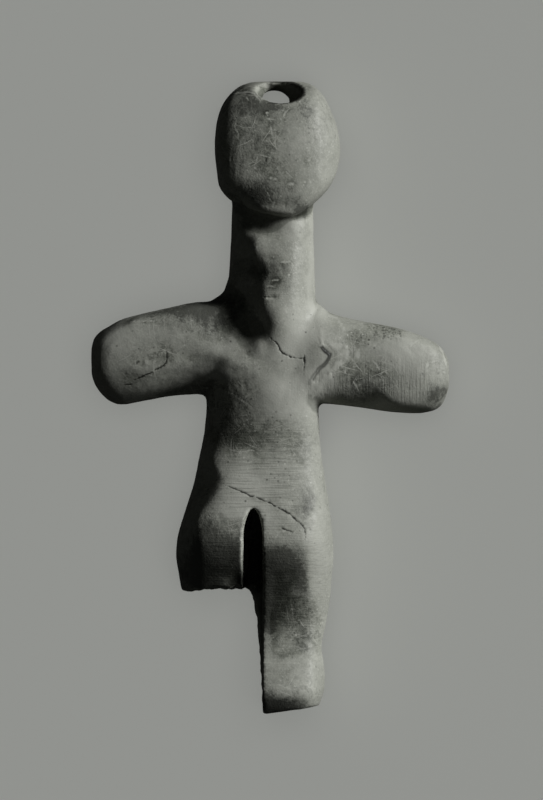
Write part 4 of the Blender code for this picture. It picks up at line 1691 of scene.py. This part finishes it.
class Coat:
    """The stone's colour as its layers go on, and the polish and grain that go with them."""

    def __init__(self, finish: Steatite, bench: Bench) -> None:
        """Makes the noises and reads the channels that several layers share.

        Args:
            finish: the tones and sizes.
            bench: where the nodes go.
        """
        self.finish, self.bench = finish, bench
        self.place = bench.place()
        self.broad = bench.noise(self.place, finish.broad_scale, 4.0, 0.6, 0.5).outputs[0]
        self.fine = bench.noise(self.place, finish.fine_scale, 4.0, 0.75, 0.3).outputs[0]
        self.grain = bench.noise(self.place, finish.grain_scale, 2.0, 0.6).outputs[0]
        self.worn = bench.painted(Channel.SCRATCHED)
        # Half the strength of the stains and of the painted shade and light, and 0 where there is
        # none
        stain_shade_and_light = bench.times(bench.painted(Channel.STAINED_SHADED_AND_LIT), 1 / STAIN_SHADE_LIGHT_NONE)
        self.stain_shade_and_light = bench.minus(stain_shade_and_light, 1.0)
        tight, deep = finish.line_press
        across = self.rubbed((1.0, tight, deep), Channel.BRUSHED)
        along = self.rubbed((tight, 1.0, deep), Channel.COMBED)
        self.lines = bench.math("MAXIMUM", across, along)
        frayed = bench.plus(self.stain_shade_and_light, bench.ramp(self.fine, 0.3, 0.7, -0.35, 0.35))
        frayed = bench.minus(frayed, bench.times(self.lines, 0.25))
        # Where the stains and painted shade are deepest, to be laid near black
        self.deepest_stain_and_shade = bench.ramp(frayed, 0.40, 0.95, 0.0, 0.60)
        self.colour = finish.middle

    def lay(self, share: object, tone: object, strength: float = 1.0) -> None:
        """Lays a tone over the colour so far.

        Args:
            share: where, 0 to 1.
            tone: the tone.
            strength: what the share is multiplied by.
        """
        share = share if strength == 1.0 else self.bench.times(share, strength)
        self.colour = self.bench.blend(share, self.colour, tone)

    def rubbed(self, stretch: tuple, where: Channel) -> Socket:
        """Fine parallel lines where a channel is painted.

        Args:
            stretch: how the pattern is pressed together, which gives the lines their way.
            where: the channel.

        Returns:
            The lines, 1 on their middles.
        """
        place = self.bench.place(stretch=stretch)
        lines = self.bench.noise(place, self.finish.line_scale, 3.0, 0.6, 0.2).outputs[0]
        return self.bench.times(self.bench.ramp(lines, 0.42, 0.66), self.bench.painted(where))

    def stone(self) -> None:
        """The stone's own colour: broad clouds, dark blotches and a fine grain."""
        bench, finish = self.bench, self.finish
        self.lay(bench.ramp(self.broad, 0.36, 0.64), finish.light)
        blotched = bench.ramp(self.worn, 0.0, 1.0, 0.35, 0.82)
        self.lay(bench.times(bench.ramp(self.fine, 0.44, 0.62), blotched), finish.deep)
        self.lay(bench.ramp(self.grain, 0.50, 0.72, 0.0, 0.40), finish.scratch_and_glint)

    def stains_shade_and_light(self) -> None:
        """Stains and painted shade laid darker, rubbed places and painted light laid paler, their
        edges broken by the blotches, and the rubbed lines.
        """
        bench, finish = self.bench, self.finish
        clouds = bench.ramp(self.broad, 0.3, 0.7, -0.3, 0.5)
        broken = bench.plus(bench.ramp(self.fine, 0.3, 0.7, 0.9, 2.4), clouds)
        # Stains and painted shade darker, then rubbed places and painted light paler
        self.lay(bench.times(self.stain_shade_and_light, broken, clamp=True), finish.deep)
        # Rubbed places and painted light, laid pale
        self.lay(bench.times(self.stain_shade_and_light, -2.0, clamp=True), finish.pale_mend_and_light)
        self.lay(self.lines, finish.deep, 0.42)

    def hairlines(self) -> Socket:
        """Fine scratches in several ways: marks in swayed cells drawn out long and thin.

        Returns:
            The scratches, 1 on their middles.
        """
        bench, finish = self.bench, self.finish
        sway = bench.noise(self.place, finish.sway_scale, 1.0, 0.5)
        swayed = bench.node("ShaderNodeVectorMath", operation="MULTIPLY_ADD")
        bench.put(swayed.inputs[0], sway.outputs["Color"])
        swayed.inputs[1].default_value = (finish.sway, finish.sway, 0.0)
        bench.put(swayed.inputs[2], self.place)
        total = 0.0
        for turn, length, width in finish.scratch_ways:
            turned = bench.node("ShaderNodeVectorRotate", rotation_type="Z_AXIS")
            bench.put(turned.inputs["Vector"], swayed.outputs[0])
            turned.inputs["Angle"].default_value = turn
            drawn = bench.drawn(turned.outputs[0], (1 / length, 1 / width, 1.0))
            line = bench.marks(drawn, finish.hair_radius, finish.hair_share, True)
            total = bench.math("MAXIMUM", total, line)
        return bench.times(total, self.worn)

    def scratches_and_glints(self) -> None:
        """Hairline scratches painted pale, partly as painted glint where they catch the light,
        light specks and dark pocks.
        """
        bench, finish = self.bench, self.finish
        # Hairlines painted pale, partly as painted glint
        self.lay(self.hairlines(), finish.scratch_and_glint, 0.75)
        for turn, (cells, radius, kept), tone in (
            ((0.0, 0.0, 0.0), finish.specks, finish.scratch_and_glint),
            ((0.4, 0.7, 0.2), finish.pocks, finish.soot_and_shade),
        ):
            place = bench.place(turn, (cells, cells, cells))
            self.lay(bench.marks(place, radius, kept), tone, 0.7)

    def hollows_and_deepest(self) -> None:
        """Darker in the hollows, paler on the rises, and near black where the stains and painted
        shade are deepest.
        """
        hollow = self.bench.painted(Channel.HOLLOW)
        # Darker in the hollows and paler on the rises, read from the shape
        self.lay(self.bench.ramp(hollow, 0.60, 0.95, 0.0, 0.5), self.finish.deep)
        self.lay(self.bench.ramp(hollow, 0.42, 0.1, 0.0, 0.35), self.finish.pale_mend_and_light)
        # Near black where the stains and painted shade are deepest
        self.lay(self.deepest_stain_and_shade, self.finish.soot_and_shade)

    def marks(self) -> None:
        """Pale streaks over the stains and painted shade, and the marks painted pale, dark and
        torn, among them painted glint on scratches and painted shade in the cord hole and along
        the recess edge.
        """
        bench, finish = self.bench, self.finish
        place = bench.place((0.3, 0.1, 0.2), (1.0, *finish.streak_press))
        streaks = bench.noise(place, finish.streak_scale, 3.0, 0.6, 0.2).outputs[0]
        streaks = bench.ramp(streaks, 0.5, 0.7, 0.0, 0.16)
        streaks = bench.times(streaks, bench.painted(Channel.BRUSHED))
        self.lay(bench.times(streaks, bench.ramp(self.stain_shade_and_light, 0.1, 0.5)), finish.middle)
        self.lay(bench.painted(Channel.PALE), finish.pale_mend_and_light, 0.75)
        # Cracks and pits, and painted shade in the cord hole and along the recess edge
        self.lay(bench.painted(Channel.DARK), finish.soot_and_shade)
        self.lay(bench.painted(Channel.TORN), finish.pale_mend_and_light, 0.35)

    def roughness(self) -> Socket:
        """A satin that the blotches vary, rough where it is torn and glossier where the stains and
        painted shade are deepest.

        Returns:
            The roughness.
        """
        bench, finish = self.bench, self.finish
        smooth, rough = finish.roughness
        rough = bench.ramp(self.fine, 0.3, 0.7, smooth, rough)
        torn = bench.times(bench.painted(Channel.TORN), finish.torn_roughness)
        return bench.minus(bench.plus(rough, torn), bench.times(self.deepest_stain_and_shade, finish.deepest_gloss))

    def relief(self) -> Socket:
        """The finest relief, too small for the mesh: blotches, grain where the stains and painted
        shade and light lie, and lines.

        Returns:
            The tilted normals.
        """
        bench = self.bench
        grain_on_stain_shade_light = bench.ramp(self.stain_shade_and_light, -0.05, 0.25, 0.15, 0.40)
        relief = bench.plus(bench.times(self.fine, 0.22), bench.times(self.grain, grain_on_stain_shade_light))
        bump = bench.node("ShaderNodeBump")
        bump.inputs["Strength"].default_value = 1.0
        bump.inputs["Distance"].default_value = self.finish.relief
        bench.put(bump.inputs["Height"], bench.minus(relief, bench.times(self.lines, 0.15)))
        return bump.outputs[0]


@dataclass(frozen=True)
class Floor:
    """A plain pale floor that curves up far off."""

    tone: tuple = (0.62, 0.635, 0.60, 1.0)
    roughness: float = 0.9
    shine: float = 0.1
    reach: float = 3.0
    middle: float = 0.002
    flat_share: float = 0.55
    rim_height: float = 0.6
    around: int = 96

    def build(self) -> bpy.types.Object:
        """A circle's radius carried round, which rises towards the rim as a square does.

        Returns:
            The floor.
        """
        reach = np.concatenate([[self.middle], np.linspace(0.3, 1.0, 12) * self.reach])
        rise = np.clip(reach / self.reach - self.flat_share, 0, 1) ** 2
        rise = self.rim_height * rise / (1 - self.flat_share) ** 2 * self.reach
        turn = np.linspace(0, 2 * math.pi, self.around, endpoint=False)
        reach, rise = reach[:, None], rise[:, None]
        rings = stacked(np.cos(turn) * reach, np.sin(turn) * reach, rise)
        sides = ring_sides(len(rings), self.around)[:, ::-1]
        mesh = new_mesh("floor", rings.reshape(-1, 3), [*sides.tolist(), [*range(self.around)]])
        mesh.polygons.foreach_set("use_smooth", np.ones(len(mesh.polygons), bool))
        floor = new_object("floor", mesh)
        material = bpy.data.materials.new("pale_floor")
        material.use_nodes = True
        shader = material.node_tree.nodes["Principled BSDF"]
        shader.inputs["Base Color"].default_value = self.tone
        shader.inputs["Roughness"].default_value = self.roughness
        shader.inputs["Specular IOR Level"].default_value = self.shine
        floor.data.materials.append(material)
        floor.visible_diffuse = False
        floor.visible_glossy = False
        return floor


@dataclass(frozen=True)
class Studio:
    """The floor, the lights and the camera."""

    floor: Floor = Floor()
    key_turn: float = math.radians(24)
    key_height: float = math.radians(20)
    key_distance: float = 2.0
    key_size: float = 0.5
    key_power: float = 45.0
    fill: float = 0.016
    fill_tone: tuple = (0.96, 1.0, 0.95, 1.0)
    overhead_height: float = 2.4
    overhead_size: float = 3.0
    overhead_power: float = 38.0
    contact_share: float = 0.12
    film: float = 36.0
    far_clip: float = 20.0

    def area(self, name: str, place: Vector, size: float, power: float) -> bpy.types.Object:
        """A square soft light, turned to the stone.

        Args:
            name: what it is called.
            place: where it stands.
            size: its side, in metres.
            power: its power, in watts.

        Returns:
            The light.
        """
        light = bpy.data.lights.new(name, "AREA")
        light.size = size
        light.energy = power
        made = new_object(name, light)
        made.location = place
        made.rotation_mode = "QUATERNION"
        made.rotation_quaternion = (-place).to_track_quat("-Z", "Y")
        return made

    def only(self, name: str, member: bpy.types.Object) -> bpy.types.Collection:
        """A collection of one object, for a light to be kept to.

        Args:
            name: what it is called.
            member: the object.

        Returns:
            The collection.
        """
        group = bpy.data.collections.new(name)
        group.objects.link(member)
        return group

    def lights(self, idol: bpy.types.Object, floor: bpy.types.Object) -> None:
        """A low key for the stone alone, and lights from above for the floor alone.

        Nothing shades the first light from above. The second is weaker, and the stone shades it.

        Args:
            idol: the stone.
            floor: the floor.
        """
        way = Vector((
            math.cos(self.key_turn) * math.cos(self.key_height),
            math.sin(self.key_turn) * math.cos(self.key_height),
            math.sin(self.key_height),
        ))
        key = self.area("key", way * self.key_distance, self.key_size, self.key_power)
        key.light_linking.receiver_collection = self.only("lit_by_key", idol)
        above = Vector((0.0, 0.0, self.overhead_height))
        power = self.overhead_power * (1 - self.contact_share)
        plain = self.area("overhead", above, self.overhead_size, power)
        plain.light_linking.receiver_collection = self.only("lit_from_above", floor)
        plain.light_linking.blocker_collection = self.only("shading_the_overhead", floor)
        power = self.overhead_power * self.contact_share
        soft = self.area("overhead_soft", above, self.overhead_size, power)
        soft.light_linking.receiver_collection = self.only("lit_softly", floor)

    def room(self) -> None:
        """A weak even light from all round."""
        world = bpy.data.worlds.new("room")
        bpy.context.scene.world = world
        world.use_nodes = True
        tone, strength = world.node_tree.nodes["Background"].inputs[:2]
        tone.default_value = self.fill_tone
        strength.default_value = self.fill

    def camera(self) -> None:
        """A camera straight above, whose picture's height is the photograph's."""
        lens = bpy.data.cameras.new("camera")
        lens.sensor_width = self.film
        lens.lens = self.film * PHOTO.distance / (PHOTO.height * PHOTO.pixel)
        lens.clip_end = self.far_clip
        camera = new_object("camera", lens)
        camera.location = Vector(PHOTO.aim) + Vector((0.0, 0.0, PHOTO.distance))
        bpy.context.scene.camera = camera

    def build(self, idol: bpy.types.Object) -> None:
        """Sets up floor, lights and camera.

        Args:
            idol: the piece that the key light shines on.
        """
        self.lights(idol, self.floor.build())
        self.room()
        self.camera()
        bpy.context.scene.view_settings.view_transform = "Standard"


def main() -> None:
    """Builds the stone, its finish and the studio, and logs the stone's triangle counts.

    The object stands for the plain solid, which is hidden, rides its body and has the finish as
    its material.
    """
    logging.basicConfig(level=logging.INFO, format="%(message)s")
    idol = WorkedStone().build()
    idol.data.materials.append(Steatite().build())
    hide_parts("idol")
    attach(idol, "root")
    Studio().build(idol)


if __name__ == "__main__":
    main()
